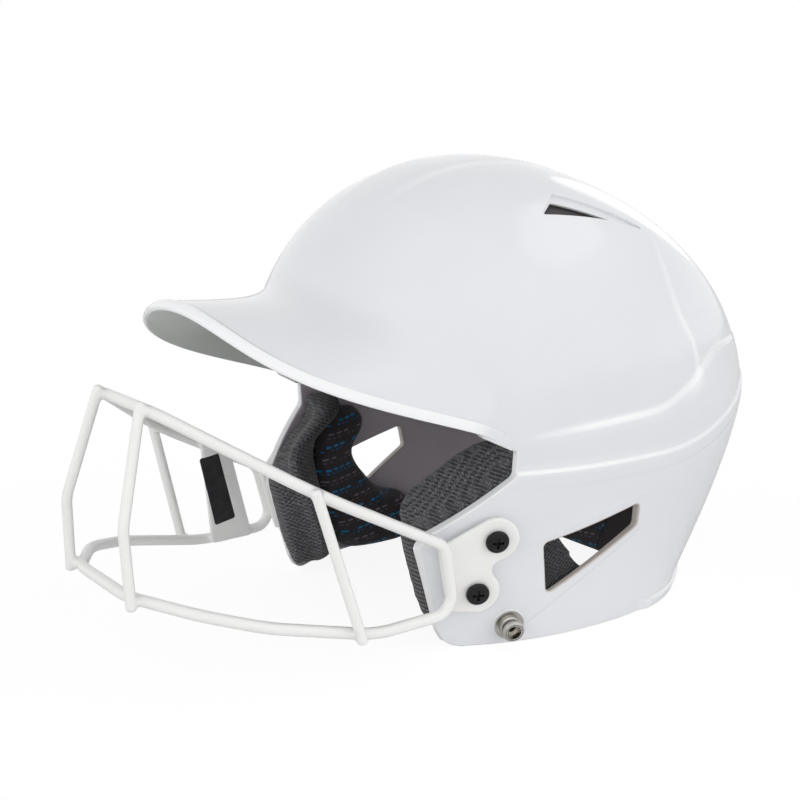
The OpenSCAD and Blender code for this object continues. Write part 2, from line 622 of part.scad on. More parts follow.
module stud_nut() {
    on_stud() translate([0, 0, -wall - 4.8]) difference() {
        union() {
            cylinder(h = 4, r = 4.4, $fn = 6);
            translate([0, 0, 2.8]) cylinder(h = 1.2, r = 5.6, $fn = 40);
        }
        translate([0, 0, -1]) cylinder(h = 7, r = 2.5 + nut_clear, $fn = 32);
    }
}
module strap_stud_nut_left() { color("silver") stud_nut(); }
module strap_stud_nut_right() { color("silver") mirror([1, 0, 0]) stud_nut(); }

// Padding: a patch of the inner wall with a crown and drawn-in sides
function swell(u, v) = pow(max(0, 1 - pow(abs(u), 3.2)), 0.5) * pow(max(0, 1 - pow(abs(v), 3.2)), 0.5);
module patch(front, back) {
    n = len(front);
    m = len(front[0]);
    pts = concat([for (r = front, p = r) p], [for (r = back, p = r) p]);
    o = n * m;
    rim = concat([for (j = [0:m - 2]) j], [for (i = [0:n - 2]) i * m + m - 1],
        [for (j = [m - 1:-1:1]) (n - 1) * m + j], [for (i = [n - 1:-1:1]) i * m]);
    polyhedron(points = pts, convexity = 6, faces = concat(
        [for (i = [0:n - 2], j = [0:m - 2]) let (a = i * m + j)
            each [[a, a + 1, a + m + 1], [a, a + m + 1, a + m]]],
        [for (i = [0:n - 2], j = [0:m - 2]) let (a = o + i * m + j)
            each [[a, a + m + 1, a + 1], [a, a + m, a + m + 1]]],
        [for (k = [0:len(rim) - 1]) let (a = rim[k], b = rim[(k + 1) % len(rim)])
            each [[a, o + b, b], [a, o + a, o + b]]]));
}
// Patch over columns t0 to t1 and heights z0 to z1 of the dome, with rounded corners
module dome_pad(t0, t1, z0, z1, thick, nt, nz) {
    grid = [for (i = [0:nt]) [for (j = [0:nz]) let (u = 2 * i / nt - 1, v = 2 * j / nz - 1,
            uu = u * sqrt(1 - 0.22 * v * v), vv = v * sqrt(1 - 0.22 * u * u))
        [lerp(t0, t1, (uu + 1) / 2), lerp(z0, z1, (vv + 1) / 2), swell(u, v)]]];
    patch([for (r = grid) [for (g = r) skin(g.x, g.y, wall + wall_gap)]],
        [for (r = grid) [for (g = r) skin(g.x, g.y, wall + wall_gap + thick * (0.35 + 0.65 * g.z))]]);
}
// Patch on the side wall over a grid of places [y, z, thickness]
module side_pad(grid) {
    patch([for (r = grid) [for (g = r) [side_x(g.x, g.y, wall + wall_gap), g.x, g.y]]],
        [for (r = grid) [for (g = r) [side_x(g.x, g.y, wall + wall_gap) - g.z, g.x, g.y]]]);
}

// Hollows in the padding over the nuts inside the wall
module nut_pockets() {
    screw_places() translate([0, 0, nut_face - nut_h - 1])
        cylinder(h = nut_h + 8, r = nut_flange_d / 2 + 1, $fn = 24);
    on_stud() translate([0, 0, -wall - 7]) cylinder(h = wall + 8, r = 6.6, $fn = 24);
}
// Jaw pad: a thick pillow behind the cheek edge. Its inner ridge is [x, y] over the height.
jaw_low = 9;
jaw_high = belt_z - 1.8;
function jaw_front(z) = z > cheek_z + 7
    ? lerp(cheek_y + 4.6, temple_y + 1.6, min(1, (z - cheek_z - 7) / (belt_z - cheek_z - 22)))
    : lerp(cheek_y + 15.1, cheek_y + 1.6, z / cheek_z);
function jaw_back(z) = -33.5 - 14 * sin(180 * min(1, z / 108)) + 17 * ramp(70, 97, z);
function jaw_ridge(z) = [
    shell_half_w * lookup(z, [[9, 0.438], [20, 0.395], [40, 0.36], [55, 0.384], [68, 0.41], [80, 0.491],
        [97, 0.543]]),
    lookup(z, [[9, -56], [20, -58.5], [40, -65.8], [55, -71], [66, -75], [72, -73], [80, -63], [97, -42]])];
jaw_profile = [[0, 0.05], [0.03, 0.3], [0.14, 0.62], [0.34, 0.86], [0.6, 0.97], [0.84, 1], [0.97, 0.94],
    [1.02, 0.72], [1, 0.36]];
module jaw_pad() {
    ni = 14;
    rows = [for (i = [0:ni]) lerp(jaw_low, jaw_high, 0.5 - 0.5 * cos(180 * i / ni))];
    m = len(jaw_profile);
    o = wall + wall_gap;
    difference() {
        patch([for (z = rows) [for (j = [0:m - 1]) let (y = lerp(jaw_back(z), jaw_front(z), j / (m - 1)))
                [side_x(y, z, o), y, z]]],
            [for (z = rows) let (r = jaw_ridge(z), u = (z - jaw_low) / (jaw_high - jaw_low),
                    full = pow(1 - pow(abs(2 * u - 1), 7), 0.5), deep = side_x(r.y, z, o) - r.x)
                [for (j = [0:m - 1]) let (g = jaw_profile[j], w = lerp(jaw_back(z), r.y, g.x),
                    y = j == m - 1 ? jaw_front(z) : w)
                    [side_x(y, z, o) - max(1, deep * g.y * (0.3 + 0.7 * full)), y, z]]]);
        nut_pockets();
    }
}
module jaw_pad_left() { color("dimgray") jaw_pad(); }
module jaw_pad_right() { color("dimgray") mirror([1, 0, 0]) jaw_pad(); }

// Ear pad: a band round the front and bottom of the ear, from its jaw edge [y, z] to its ear edge [y, z]
ear_route = [[-33, 84, -7, 80], [-37, 77, -4.5, 73], [-42, 69, -8.5, 66], [-45.5, 60, -16, 58.5],
    [-45.5, 50, -12.5, 50], [-44, 38, -6, 42], [-40.5, 26, 0, 35], [-34, 14, 6, 31],
    [-22, 6, 13, 29.5], [0, 4.5, 20, 27], [17, 5, 25, 20]];
function blend(a, b, c, d, u) = 0.5 * (2 * b + (c - a) * u + (2 * a - 5 * b + 4 * c - d) * u * u
    + (3 * b - a - 3 * c + d) * u * u * u);
function route_row(s) = let (n = len(ear_route) - 1, i = min(n - 1, floor(s * n)))
    blend(ear_route[max(0, i - 1)], ear_route[i], ear_route[i + 1], ear_route[min(n, i + 2)], s * n - i);
module ear_pad() {
    ns = 20;
    nw = 8;
    difference() {
        side_pad([for (i = [0:ns]) let (s = i / ns, r = route_row(s),
                end = pow(max(0.03, 1 - pow(abs(2 * s - 1), 10)), 0.5))
            [for (j = [0:nw]) let (v = 2 * j / nw - 1, w = j / nw)
                [lerp(r[0], r[2], w), lerp(r[1], r[3], w),
                    ear_pad_t * (0.3 + 0.7 * pow(max(0, 1 - pow(abs(v), 4)), 0.55) * end)]]]);
        nut_pockets();
    }
}
module ear_pad_left() { color("#26262b") ear_pad(); }
module ear_pad_right() { color("#26262b") mirror([1, 0, 0]) ear_pad(); }

module forehead_pad() { color("#26262b") dome_pad(-142, -38, bill_z + 2, shell_h - 38, brow_pad_t, 20, 6); }
module rear_pad() { color("#26262b") dome_pad(52, 128, belt_z - 39, belt_z + 21, side_pad_t, 16, 10); }
module temple_pad() { dome_pad(-18, 46, belt_z + 11, shell_h - 51, side_pad_t, 14, 10); }
module temple_pad_left() { color("#26262b") temple_pad(); }
module temple_pad_right() { color("#26262b") mirror([1, 0, 0]) temple_pad(); }

// Crown pad: a cap with a rolled rim, higher in front where the forehead pad is
module crown_pad() {
    n = 40;
    rim_z = function (t) shell_h - 44 + 19 * pow(max(0, -sin(t)), 2);
    o = wall + wall_gap;
    out = function (t, u) dome_point(t, lerp(90, lift_of(rim_z(t), o), u), o);
    in = function (t, u) dome_point(t, lerp(90, lift_of(rim_z(t) + 1.5, o), u), o + crown_pad_t
        * (0.3 + 0.7 * pow(max(0, 1 - pow(u, 5)), 0.5)));
    columns = [for (i = [0:n - 1]) let (t = -180 + 360 * i / n) concat(
        [for (u = [0.14, 0.35, 0.6, 0.8, 0.95, 1]) out(t, u)],
        [for (u = [1, 0.96, 0.85, 0.6, 0.3]) in(t, u)])];
    color("#26262b") lofted(crown(o), rings_of(columns), crown(o + crown_pad_t));
}

shell();
guard_hoop();
guard_upright_center_left();
guard_upright_center_right();
guard_upright_side_left();
guard_upright_side_right();
guard_plate_left();
guard_plate_right();
guard_label_plate();
guard_screw_upper_left();
guard_screw_lower_left();
guard_screw_upper_right();
guard_screw_lower_right();
guard_nuts_left();
guard_nuts_right();
strap_stud_left();
strap_stud_right();
strap_stud_washer_left();
strap_stud_washer_right();
strap_stud_nut_left();
strap_stud_nut_right();
jaw_pad_left();
jaw_pad_right();
ear_pad_left();
ear_pad_right();
forehead_pad();
crown_pad();
rear_pad();
temple_pad_left();
temple_pad_right();
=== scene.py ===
"""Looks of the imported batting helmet: shell, welded guard, padding, fasteners, studio."""
from math import acos, asin, atan2, cos, pi, radians, sin, sqrt, tan
import bpy
import numpy as np
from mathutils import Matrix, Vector


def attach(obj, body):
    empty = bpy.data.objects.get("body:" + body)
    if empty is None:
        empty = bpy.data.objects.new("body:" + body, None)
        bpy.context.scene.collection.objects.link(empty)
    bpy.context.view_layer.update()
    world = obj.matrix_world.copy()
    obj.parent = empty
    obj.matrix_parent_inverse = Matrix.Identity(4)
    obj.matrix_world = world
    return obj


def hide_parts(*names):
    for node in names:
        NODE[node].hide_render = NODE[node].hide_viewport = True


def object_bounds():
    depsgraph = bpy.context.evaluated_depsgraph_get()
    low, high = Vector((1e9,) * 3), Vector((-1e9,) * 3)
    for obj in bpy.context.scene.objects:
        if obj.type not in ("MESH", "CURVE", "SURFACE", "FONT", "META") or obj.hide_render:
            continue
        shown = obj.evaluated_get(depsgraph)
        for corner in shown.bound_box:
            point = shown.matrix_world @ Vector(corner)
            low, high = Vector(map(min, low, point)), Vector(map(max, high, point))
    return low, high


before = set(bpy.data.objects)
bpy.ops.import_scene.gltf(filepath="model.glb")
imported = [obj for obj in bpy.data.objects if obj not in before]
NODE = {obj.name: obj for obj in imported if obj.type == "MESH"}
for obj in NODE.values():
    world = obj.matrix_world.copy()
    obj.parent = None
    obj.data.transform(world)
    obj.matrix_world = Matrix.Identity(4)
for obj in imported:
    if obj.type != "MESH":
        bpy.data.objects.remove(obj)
CAD_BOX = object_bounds()
MM = 0.001
A3 = np.array
MIRROR = A3([-1.0, 1, 1])

# Values of the part, in mm and degrees
HALF_W, FRONT, REAR, TOP, EQUATOR = 105, 129, 145, 223, 101
DOME_Y, LEAN, WALL = 15.5, 15, 3.2
FLAP_TUCK, FACE_TUCK, NAPE_TUCK, NAPE_RISE, FLANGE_H, FLANGE_T = 0.153, 0.1, 0.326, 10, 4.6, 2.2
BILL_REACH, BILL_Z, BILL_DROP, BILL_ANGLE, BILL_PINCH, BILL_SPREAD = 59, 161, 60.4, 64, 0.267, 4.2
LIP_T, BILL_FILLET, ROOT_DROP, BILL_ARCH = 5.0, 10, 2.5, 8.6
BELT_Z, BELT_RISE, BELT_LEDGE = 101, 20, 2.2
EAR_LINE_Z, EAR_LINE_RISE, EAR_LINE_LEDGE = 86.5, 28, 1.2
TEMPLE_Y, CHEEK_Y, CHEEK_Z = -43.4, -79.5, 51
SEAM_T = BILL_ANGLE - 90
BEAD = LIP_T / 2
# Exponents of the skin's curves: level and upright ones, then how the tucks grow downwards
LEVEL_N, FRONT_N, REAR_N = 2.21, 2.04, 1.82
FLAP_GROWTH, FACE_GROWTH, NAPE_GROWTH = 1.38, 1.5, 1.41


def clip01(v):
    return np.clip(v, 0, 1)


def ramp(a, b, v):
    """Smooth step from 0 at a to 1 at b."""
    u = clip01((v - a) / (b - a))
    return u * u * (3 - 2 * u)


def spow(v, e):
    return np.sign(v) * np.abs(v) ** e


def lerp(a, b, u):
    return a + (b - a) * u


def unit(v):
    return v / np.maximum(1e-12, np.linalg.norm(v, axis=-1, keepdims=True))


def rise(u, n):
    """Superellipse of exponent n, from 1 at u = 0 to 0 at u = 1."""
    return (1 - u ** n) ** (1 / n)


def section(z, o):
    """Half width, front length, rear length and middle of the skin's level section."""
    k = clip01((z - EQUATOR) / (TOP - o - EQUATOR))
    d = np.maximum(0, (EQUATOR - z) / EQUATOR)
    w = (HALF_W * (1 - FLAP_TUCK * d ** FLAP_GROWTH) - o) * rise(k, LEVEL_N)
    front = (FRONT * (1 - FACE_TUCK * d ** FACE_GROWTH) - o) * rise(k, FRONT_N)
    rear = (REAR * (1 - NAPE_TUCK * d ** NAPE_GROWTH) - o) * rise(k, REAR_N)
    return w, front, rear, DOME_Y - LEAN * k ** 2


def skin(t, z, o):
    """The moulded skin at column t (degrees) and height z, inset by o."""
    t, z, o = np.broadcast_arrays(*(np.asarray(v, float) for v in (t, z, o)))
    w, front, rear, mid = section(z, o)
    c, s = np.cos(np.radians(t)), np.sin(np.radians(t))
    y = mid + np.where(s < 0, front, rear) * spow(s, 2 / LEVEL_N)
    return np.stack([w * spow(c, 2 / LEVEL_N), y, z], -1)


def column_at(y, z, o):
    """Column whose point on the skin at height z has this y."""
    _, front, rear, mid = section(z, o)
    share = clip01(np.abs(y - mid) / np.maximum(1e-9, np.where(y < mid, front, rear)))
    return np.degrees(np.arcsin(np.sign(y - mid) * share ** (LEVEL_N / 2)))


# Lines of the part. q is the column, folded to -90 (front) .. 90 (rear).
def fold(t):
    return np.where(np.abs(t) <= 90, t, np.sign(t) * (180 - np.abs(t)))


def bill_share(q):
    """0 at the middle of the bill, 1 at its ends."""
    return clip01((q + 90) / BILL_ANGLE)


def lip_z(q):
    return BILL_Z - BILL_DROP * bill_share(q) ** 1.857


def lip_reach(q):
    return BILL_REACH * (1 - bill_share(q) ** 5.8) ** 2


def belt_line(q):
    return BELT_Z + 0.155 * (np.minimum(q, 32) + 26) + BELT_RISE * ramp(5, 32, q)


def belt_top(q):
    """Where the flare ends above the upper ledge."""
    return belt_line(q) + 1.4


def ear_line(q):
    return EAR_LINE_Z + EAR_LINE_RISE * ramp(8, 68, q)


def panel_top(q):
    """Where the wall begins under the lower ledge."""
    return ear_line(q) - 8


def belt_step(q):
    return BELT_LEDGE * ramp(-27, -4, q) * (1 - 0.75 * ramp(22, 50, q))


def ear_step(q):
    return EAR_LINE_LEDGE * (1 - 0.7 * ramp(30, 70, q))


def edge_z(q):
    return NAPE_RISE * ramp(35, 90, q)


def flange(q):
    return FLANGE_T * ramp(15, 20, q)


def root_z(q):
    return BILL_Z - ROOT_DROP - BILL_ARCH * (skin(q, 155, 0)[..., 0] / 60) ** 2


def flare_top(q):
    return lerp(root_z(np.float64(-90)) + BILL_FILLET, belt_line(q) + 50, ramp(-90, SEAM_T, q))


def under_z(q, bill):
    if bill:
        return lerp(root_z(q) - WALL, lip_z(q) - BEAD + 0.5, ramp(-52, -31, q))
    return panel_top(q)


def bill_point(t, z, r):
    """Point of the bill that reaches r out of the skin."""
    s = bill_share(fold(t))
    p = skin(t, z, -BILL_SPREAD * r / BILL_REACH)
    pinch = 1 - BILL_PINCH * s * (1 - s) ** 1.45 * r / BILL_REACH
    return np.stack([p[..., 0] * pinch, p[..., 1] - r, p[..., 2]], -1)


def lift_top(q, o):
    """Angle over the equator at which the dome ends in the flare."""
    return np.degrees(np.arcsin(clip01((flare_top(q) - EQUATOR) / (TOP - o - EQUATOR))))


def dome_z(lift, o):
    return EQUATOR + (TOP - o - EQUATOR) * np.sin(np.radians(lift))


def panel_out(q, z):
    """Inset of the ear panel, less than 0 where it stands out."""
    return -(0.4 * belt_step(q) + ear_step(q)) * ramp(15, ear_line(q), z)


# The outer and inner sheets. A place on a sheet is (t, s): t is the column in degrees, and s runs
# 0..1 over the dome, 1..2 over the flare, 2..3 over the lip or the ledges, 3..4 down the wall and
# 4..5 round the bottom flange.
PANEL_RISE, PANEL_REACH, PANEL_SOFT = 1.3, 78, 4.5


def panel_half(y):
    """Half width of the raised crown panel."""
    return lerp(22, 17, clip01(np.abs(y - 2) / 96))


def crown_ridge(p):
    """Height of the raised crown panel over the dome."""
    y = p[..., 1]
    reach = clip01(1 - (np.abs(y - 0.5) / PANEL_REACH) ** 2)
    beside = np.abs(p[..., 0]) - panel_half(y)
    return PANEL_RISE * reach * (1 - ramp(-PANEL_SOFT, PANEL_SOFT, beside))


def side_inset(q, z):
    """Inset of the outer face of a side column at height z: two ledges."""
    a, b, top = belt_line(q), ear_line(q), belt_top(q)
    out, step = 0.4 * belt_step(q), ear_step(q)
    fade = clip01(1 - (z - top) / (flare_top(q) - top))
    upper = lerp(-out, 1.5 * out * fade * fade, ramp(a - 0.3, a + 2.6, z))
    return lerp(-(out + step), upper, ramp(b - 1.1, b + 1.1, z))


# Places (y, z) along the rear crease, from its top to the belt
REAR_CREASE = [(62, 190), (56, 177), (55, 163), (57, 151), (61, 143.5), (66, 135.5), (69, 128),
               (69.5, 121.5), (66, 117.5), (59, 113.5), (50, 110.8)]


def crease_rise(y, z):
    """Low ridge that climbs from the belt to the vent's tail on either side."""
    best = np.full(np.shape(y), 99.0)
    for a, b in zip(REAR_CREASE[:-1], REAR_CREASE[1:]):
        dy, dz = b[0] - a[0], b[1] - a[1]
        u = clip01(((y - a[0]) * dy + (z - a[1]) * dz) / (dy * dy + dz * dz))
        best = np.minimum(best, np.hypot(y - a[0] - u * dy, z - a[1] - u * dz))
    return 0.6 * (1 - ramp(0, 3.4, best)) * ramp(50, 60, y) * (1 - ramp(168, 188, z))


def flare_z(u, top, knee, end):
    """Height on the flare at share u of the way down."""
    v = 1 - u
    low = lerp(end, knee, 0.68)
    return v ** 3 * top + 3 * u * v * v * knee + 3 * u * u * v * low + u ** 3 * end


def side_flare_z(q, s):
    return flare_z(s - 1, flare_top(q), belt_top(q) + 6.5, belt_top(q))


# Rows at which the upper ledge, the panel under it and the lower ledge end
BELT_END, PANEL_END, EAR_END = 2.3, 2.5, 2.8
EDGE_BEVEL = 0.9


def outer_z(q, s, bill):
    """Heights of the rows of a side column, and of the wall under the bill."""
    a, b, edge = belt_line(q), ear_line(q), edge_z(q)
    stops = ((2, belt_top(q)), (BELT_END, a - 0.4), (PANEL_END, b + 1.3), (EAR_END, b - 1.3),
             (3, under_z(q, bill)), (4, edge + FLANGE_H + EDGE_BEVEL), (5, edge - 2))
    z = stops[0][1]
    for (s0, z0), (s1, z1) in zip(stops, stops[1:]):
        z = np.where(s >= s0, lerp(z0, z1, (s - s0) / (s1 - s0)), z)
    return z


def outer_dome(t, q, s, bill):
    p = skin(t, dome_z(lerp(90, lift_top(q, 0), s), 0), 0)
    if not bill:
        p = skin(t, p[..., 2], -crease_rise(p[..., 1], p[..., 2]))
    p[..., 2] += crown_ridge(p)
    return p


# The flare meets the lip FLARE_BACK behind its rim and FLARE_SINK under its top
FLARE_BACK, FLARE_SINK = 4, 0.6


def outer_flare(t, q, s, bill):
    u = s - 1
    if bill:
        end = lip_z(q) + BEAD - FLARE_SINK
        z = flare_z(u, flare_top(q), lerp(root_z(q), end, 0.6 * ramp(-62, -28, q)), end)
        r = 3 * u * u * (1 - u) * 0.32 + u ** 3
        return bill_point(t, z, r * np.maximum(0, lip_reach(q) - FLARE_BACK))
    z = side_flare_z(q, s)
    o = side_inset(q, z)
    return skin(t, z, o - crease_rise(skin(t, z, o)[..., 1], z) * (1 - ramp(0.6, 0.9, u)))


# Shares of the lip's rows at which its groove, and then its bead, end
GROOVE_END, BEAD_END = 0.14, 0.5


def outer_lip(t, q, s, bill):
    """The bill's groove, bead and underside, or the ledges of a side column."""
    if not bill:
        z = outer_z(q, s, False)
        return skin(t, z, side_inset(q, z))
    w, c, full = s - 2, lip_z(q), lip_reach(q)
    k = clip01(full / 6)
    back = full - BEAD * k
    g = clip01(w / GROOVE_END)
    g1, g2 = clip01(g / 0.4), clip01((g - 0.4) / 0.6)
    groove_r = lerp(lerp(np.maximum(0, full - FLARE_BACK), full - 3.1 * k, g1), back, g2)
    groove_z = lerp(c + BEAD - FLARE_SINK, c + BEAD - 0.9, ramp(0, 1, g1))
    groove_z = lerp(groove_z, c + BEAD, ramp(0, 1, g2))
    phi = np.radians(lerp(90, -90, clip01((w - GROOVE_END) / (BEAD_END - GROOVE_END))))
    h, root, low = clip01((w - BEAD_END) / (1 - BEAD_END)), under_z(q, True), c - BEAD
    mr, mz = full - back / 2, 2 * lerp(low, root, 0.6) - (low + root) / 2
    under_r = (1 - h) ** 2 * back + 2 * h * (1 - h) * mr
    under_h = (1 - h) ** 2 * low + 2 * h * (1 - h) * mz + h * h * root
    rows = [w < GROOVE_END, w < BEAD_END]
    return bill_point(t, np.select(rows, [groove_z, c + BEAD * np.sin(phi)], under_h),
                      np.select(rows, [groove_r, back + BEAD * k * np.cos(phi)], under_r))


def outer_wall(t, q, s, bill):
    z = outer_z(q, np.maximum(s, 3), bill)
    e = edge_z(q) + FLANGE_H
    return skin(t, z, lerp(panel_out(q, z), -flange(q), 1 - ramp(e - 0.2, e + EDGE_BEVEL, z)))


def outer(t, s, bill):
    """Point of the outer sheet."""
    t, s = np.broadcast_arrays(np.asarray(t, float), np.asarray(s, float))
    q = fold(t)
    out = np.empty(t.shape + (3,))
    for part, here in ((outer_dome, s <= 1), (outer_flare, (s > 1) & (s <= 2)),
                       (outer_lip, (s > 2) & (s <= 3)), (outer_wall, s > 3)):
        if np.any(here):
            out[here] = part(t, q, s, bill)[here]
    return out


def inner_z(t, s, bill):
    """Height of the inner sheet's row that faces the outer sheet's row s."""
    q = fold(t)
    top = lift_top(q, WALL)
    dome, base = dome_z(lerp(90, top, clip01(s)), WALL), dome_z(top, WALL)
    if bill:
        mid = lerp(base, under_z(q, True), clip01((s - 1) / 2))
    else:
        mid = np.where(s < 2, side_flare_z(q, s) - (flare_top(q) - base) * clip01(2 - s) ** 2,
                       outer_z(q, np.maximum(s, 2), False))
    return np.where(s <= 1, dome, np.where(s <= 3, mid, outer_z(q, np.maximum(s, 3), bill)))


def inner_column(t, z):
    """Column of the inner sheet at height z. At the openings it lies straight behind the
    outer sheet in x, so that they are cut square through the wall."""
    q = fold(t)
    o = np.where(z < panel_top(q), panel_out(q, z), side_inset(q, z))
    share = (1 - ramp(2, 20, z - belt_line(q))) * ramp(-75, -55, q) * (1 - ramp(30, 60, q))
    return lerp(t, column_at(skin(t, z, o)[..., 1], z, WALL), share)


def inner(t, s, bill):
    """Point of the inner sheet."""
    t, s = np.broadcast_arrays(np.asarray(t, float), np.asarray(s, float))
    z = inner_z(t, s, bill)
    return skin(inner_column(t, z), z, WALL)


def slopes(fn, t, s, bill, dt=0.12, ds=0.004):
    """Change of a sheet's point, or of a mask, with t and with s."""
    return ((fn(t + dt, s, bill) - fn(t - dt, s, bill)) / (2 * dt),
            (fn(t, s + ds, bill) - fn(t, s - ds, bill)) / (2 * ds))


def outer_normal(t, s, bill):
    a, b = slopes(outer, t, np.maximum(s, 0.012), bill)
    return unit(np.cross(b, a))


def inner_normal(t, s, bill):
    """Normal of the inner sheet, which looks into the helmet."""
    z = np.minimum(inner_z(t, s, bill), TOP - WALL - 0.05)
    t = inner_column(t, z)
    a = skin(t + 0.1, z, WALL) - skin(t - 0.1, z, WALL)
    b = skin(t, z - 0.04, WALL) - skin(t, z + 0.04, WALL)
    return unit(np.cross(a, b))


def bend(p, a, b, r, n):
    """Points of the rounded corner at p between a and b."""
    u, v = unit(p - a), unit(b - p)
    turn = acos(float(np.clip(u @ v, -1, 1)))
    if turn < 0.02 or r <= 0:
        return [p]
    r = min(r, 0.46 * min(np.linalg.norm(p - a), np.linalg.norm(b - p)) / tan(turn / 2))
    side = unit(v - (u @ v) * u)
    c = p - r * tan(turn / 2) * u + r * side
    return [c + r * (sin(turn * i / n) * u - cos(turn * i / n) * side) for i in range(n + 1)]


def rounded(corners, radii, n):
    """Points of a closed path with its corners rounded."""
    corners, out = [A3(p, float) for p in corners], []
    for i, (p, r) in enumerate(zip(corners, radii)):
        out += bend(p, corners[i - 1], corners[(i + 1) % len(corners)], r, n)
    return out


# Outlines that are cut out
def fillet(points, radii):
    return A3(rounded(points, radii, 7))


def outline_distance(poly, x, y):
    """Distance from a closed outline, positive outside it."""
    p = np.stack([np.ravel(x), np.ravel(y)], -1)
    best, inside = np.full(len(p), 1e9), np.zeros(len(p), bool)
    for s, e in zip(poly, np.roll(poly, -1, 0)):
        d, w = e - s, p - s
        u = clip01((w @ d) / max(1e-12, d @ d))
        best = np.minimum(best, ((w - u[:, None] * d) ** 2).sum(1))
        if s[1] != e[1]:
            hit = (s[1] > p[:, 1]) != (e[1] > p[:, 1])
            inside ^= hit & (p[:, 0] < d[0] * (p[:, 1] - s[1]) / d[1] + s[0])
    best = np.sqrt(best)
    return np.where(inside, -best, best).reshape(np.shape(x))


def lip_bottom(q):
    """Place (y, z) under the lip at column q, where the face opening begins."""
    p = bill_point(np.float64(q), lip_z(q) - BEAD, lip_reach(q) - 1.8)
    return [p[1], p[2] - 1.5]


def turned(x, y, angle):
    """x and y seen from axes turned by an angle in degrees."""
    c, s = cos(radians(angle)), sin(radians(angle))
    return x * c + y * s, y * c - x * s


lip_line = [lip_bottom(q) for q in (-30, -34, -38, -41)]
FACE = fillet(
    [[TEMPLE_Y, 97.2], [-45.8, 97.4]] + lip_line + [[-260, lip_line[3][1]], [-260, -20], [-54, -20],
     [-55, -0.4], [-60.5, 0.8], [-64.6, 3.6], [-67.5, 9], [CHEEK_Y, CHEEK_Z],
     [CHEEK_Y + 3, CHEEK_Z + 7], [TEMPLE_Y, BELT_Z - 15.8]],
    [1.2, 0, 4, 4, 4, 4, 0, 0, 0, 1, 4, 4, 4, 4, 4, 4])
EAR_A = A3([-25.8, 50.6])
EAR_B = EAR_A + 55 * A3([cos(radians(13)), sin(radians(13))])
EAR = fillet([EAR_A, EAR_B, EAR_B + [1, -12], EAR_A + [6, -27]], [2.4] * 4)
VENT = fillet([[2, -27], [-11.2, -12], [11, 41]], [0.9] * 3)
VENT_HOLE = fillet([[1.5, -25.2], [-6.4, -15.6], [9, 24]], [0.8] * 3)


def vent_xy(p):
    """A point in the crown vent's own plane."""
    x, _ = turned(np.abs(p[..., 0]) - 64, p[..., 2] - 199, -42)
    return x, p[..., 1] - 20


REAR_VENT = skin(np.float64(46), 45, 0)
SLOT_HALF, SLOT_R = 11, 4


def rear_vent_distance(p):
    """Distance from the slot-shaped rear vent, measured in its own plane."""
    d = np.stack([np.abs(p[..., 0]), p[..., 1], p[..., 2]], -1) - REAR_VENT
    x, y = turned(d[..., 0], d[..., 1], 40)
    z = x * sin(radians(14)) + d[..., 2] * cos(radians(14))
    u, v = turned(y, z, 58)
    return np.hypot(u - np.clip(u, -SLOT_HALF, SLOT_HALF), v) - SLOT_R


FACE_ROUND, BROW_ROUND, EAR_ROUND, SLOT_ROUND, FAR = 0.9, 0.25, 0.8, 0.7, 50.0


def cut_masks(t, s, bill):
    """Distances to each cut, less the rounding of its edge, and those roundings."""
    p, q = outer(t, s, bill), fold(t)
    y, z = p[..., 1], p[..., 2]
    face, bottom = outline_distance(FACE, y, z), z - edge_z(q) - FACE_ROUND
    if bill:
        wall = s >= 2.999
        brow = np.maximum(z - (under_z(q, True) - 0.3 - 5 * ramp(-41, -34, q)), 90 - z)
        return ([np.where(wall, face, FAR) - FACE_ROUND, np.where(wall, brow, FAR), bottom],
                [FACE_ROUND, BROW_ROUND, FACE_ROUND])
    ear = outline_distance(EAR, y, z)
    return ([face - FACE_ROUND, ear - EAR_ROUND, rear_vent_distance(p) - SLOT_ROUND, bottom],
            [FACE_ROUND, EAR_ROUND, SLOT_ROUND, FACE_ROUND])


def cut_mask(t, s, bill):
    return np.min(cut_masks(t, s, bill)[0], axis=0)


def cut_round(t, s, bill):
    rows, radii = cut_masks(t, s, bill)
    return A3(radii)[np.argmin(rows, axis=0)]


# Mesh building
class Build:
    """Collects vertices with normals and shares of painted highlight, and faces with a material."""

    def __init__(self):
        self.points, self.normals, self.polish, self.faces, self.mats = [], [], [], [], []
        self.count = 0

    def add(self, points, normals, polish=None):
        start = self.count
        self.points.append(np.asarray(points, float))
        self.normals.append(np.asarray(normals, float))
        self.polish.append(np.zeros(len(points)) if polish is None else polish)
        self.count += len(points)
        return start

    def face(self, idx, mat):
        self.faces.append(tuple(int(i) for i in idx))
        self.mats.append(mat)

    def mirrored(self):
        """The whole of it and its mirror image in x."""
        p, n, polish = (np.concatenate(v) for v in (self.points, self.normals, self.polish))
        faces = self.faces + [tuple(len(p) + i for i in f[::-1]) for f in self.faces]
        return (np.concatenate([p, p * MIRROR]), np.concatenate([n, n * MIRROR]),
                np.tile(polish, 2), faces, self.mats * 2)


def same_rows(key):
    """First of the rows that share a key, for each key, and each row's key number."""
    _, first, back = np.unique(np.round(key).astype(np.int64), axis=0, return_index=True,
                               return_inverse=True)
    return first, back.ravel()


def welded(points, normals, polish, faces, mats):
    """Joins vertices that share a place and a normal."""
    first, back = same_rows(np.concatenate([points * 200, normals * 12], 1))
    out, keep = [], []
    for f, m in zip(faces, mats):
        g = []
        for i in f:
            j = int(back[i])
            if not g or g[-1] != j:
                g.append(j)
        if len(g) > 1 and g[0] == g[-1]:
            g.pop()
        if len(set(g)) == len(g) and len(g) > 2:
            out.append(g)
            keep.append(m)
    return points[first], normals[first], polish[first], out, keep


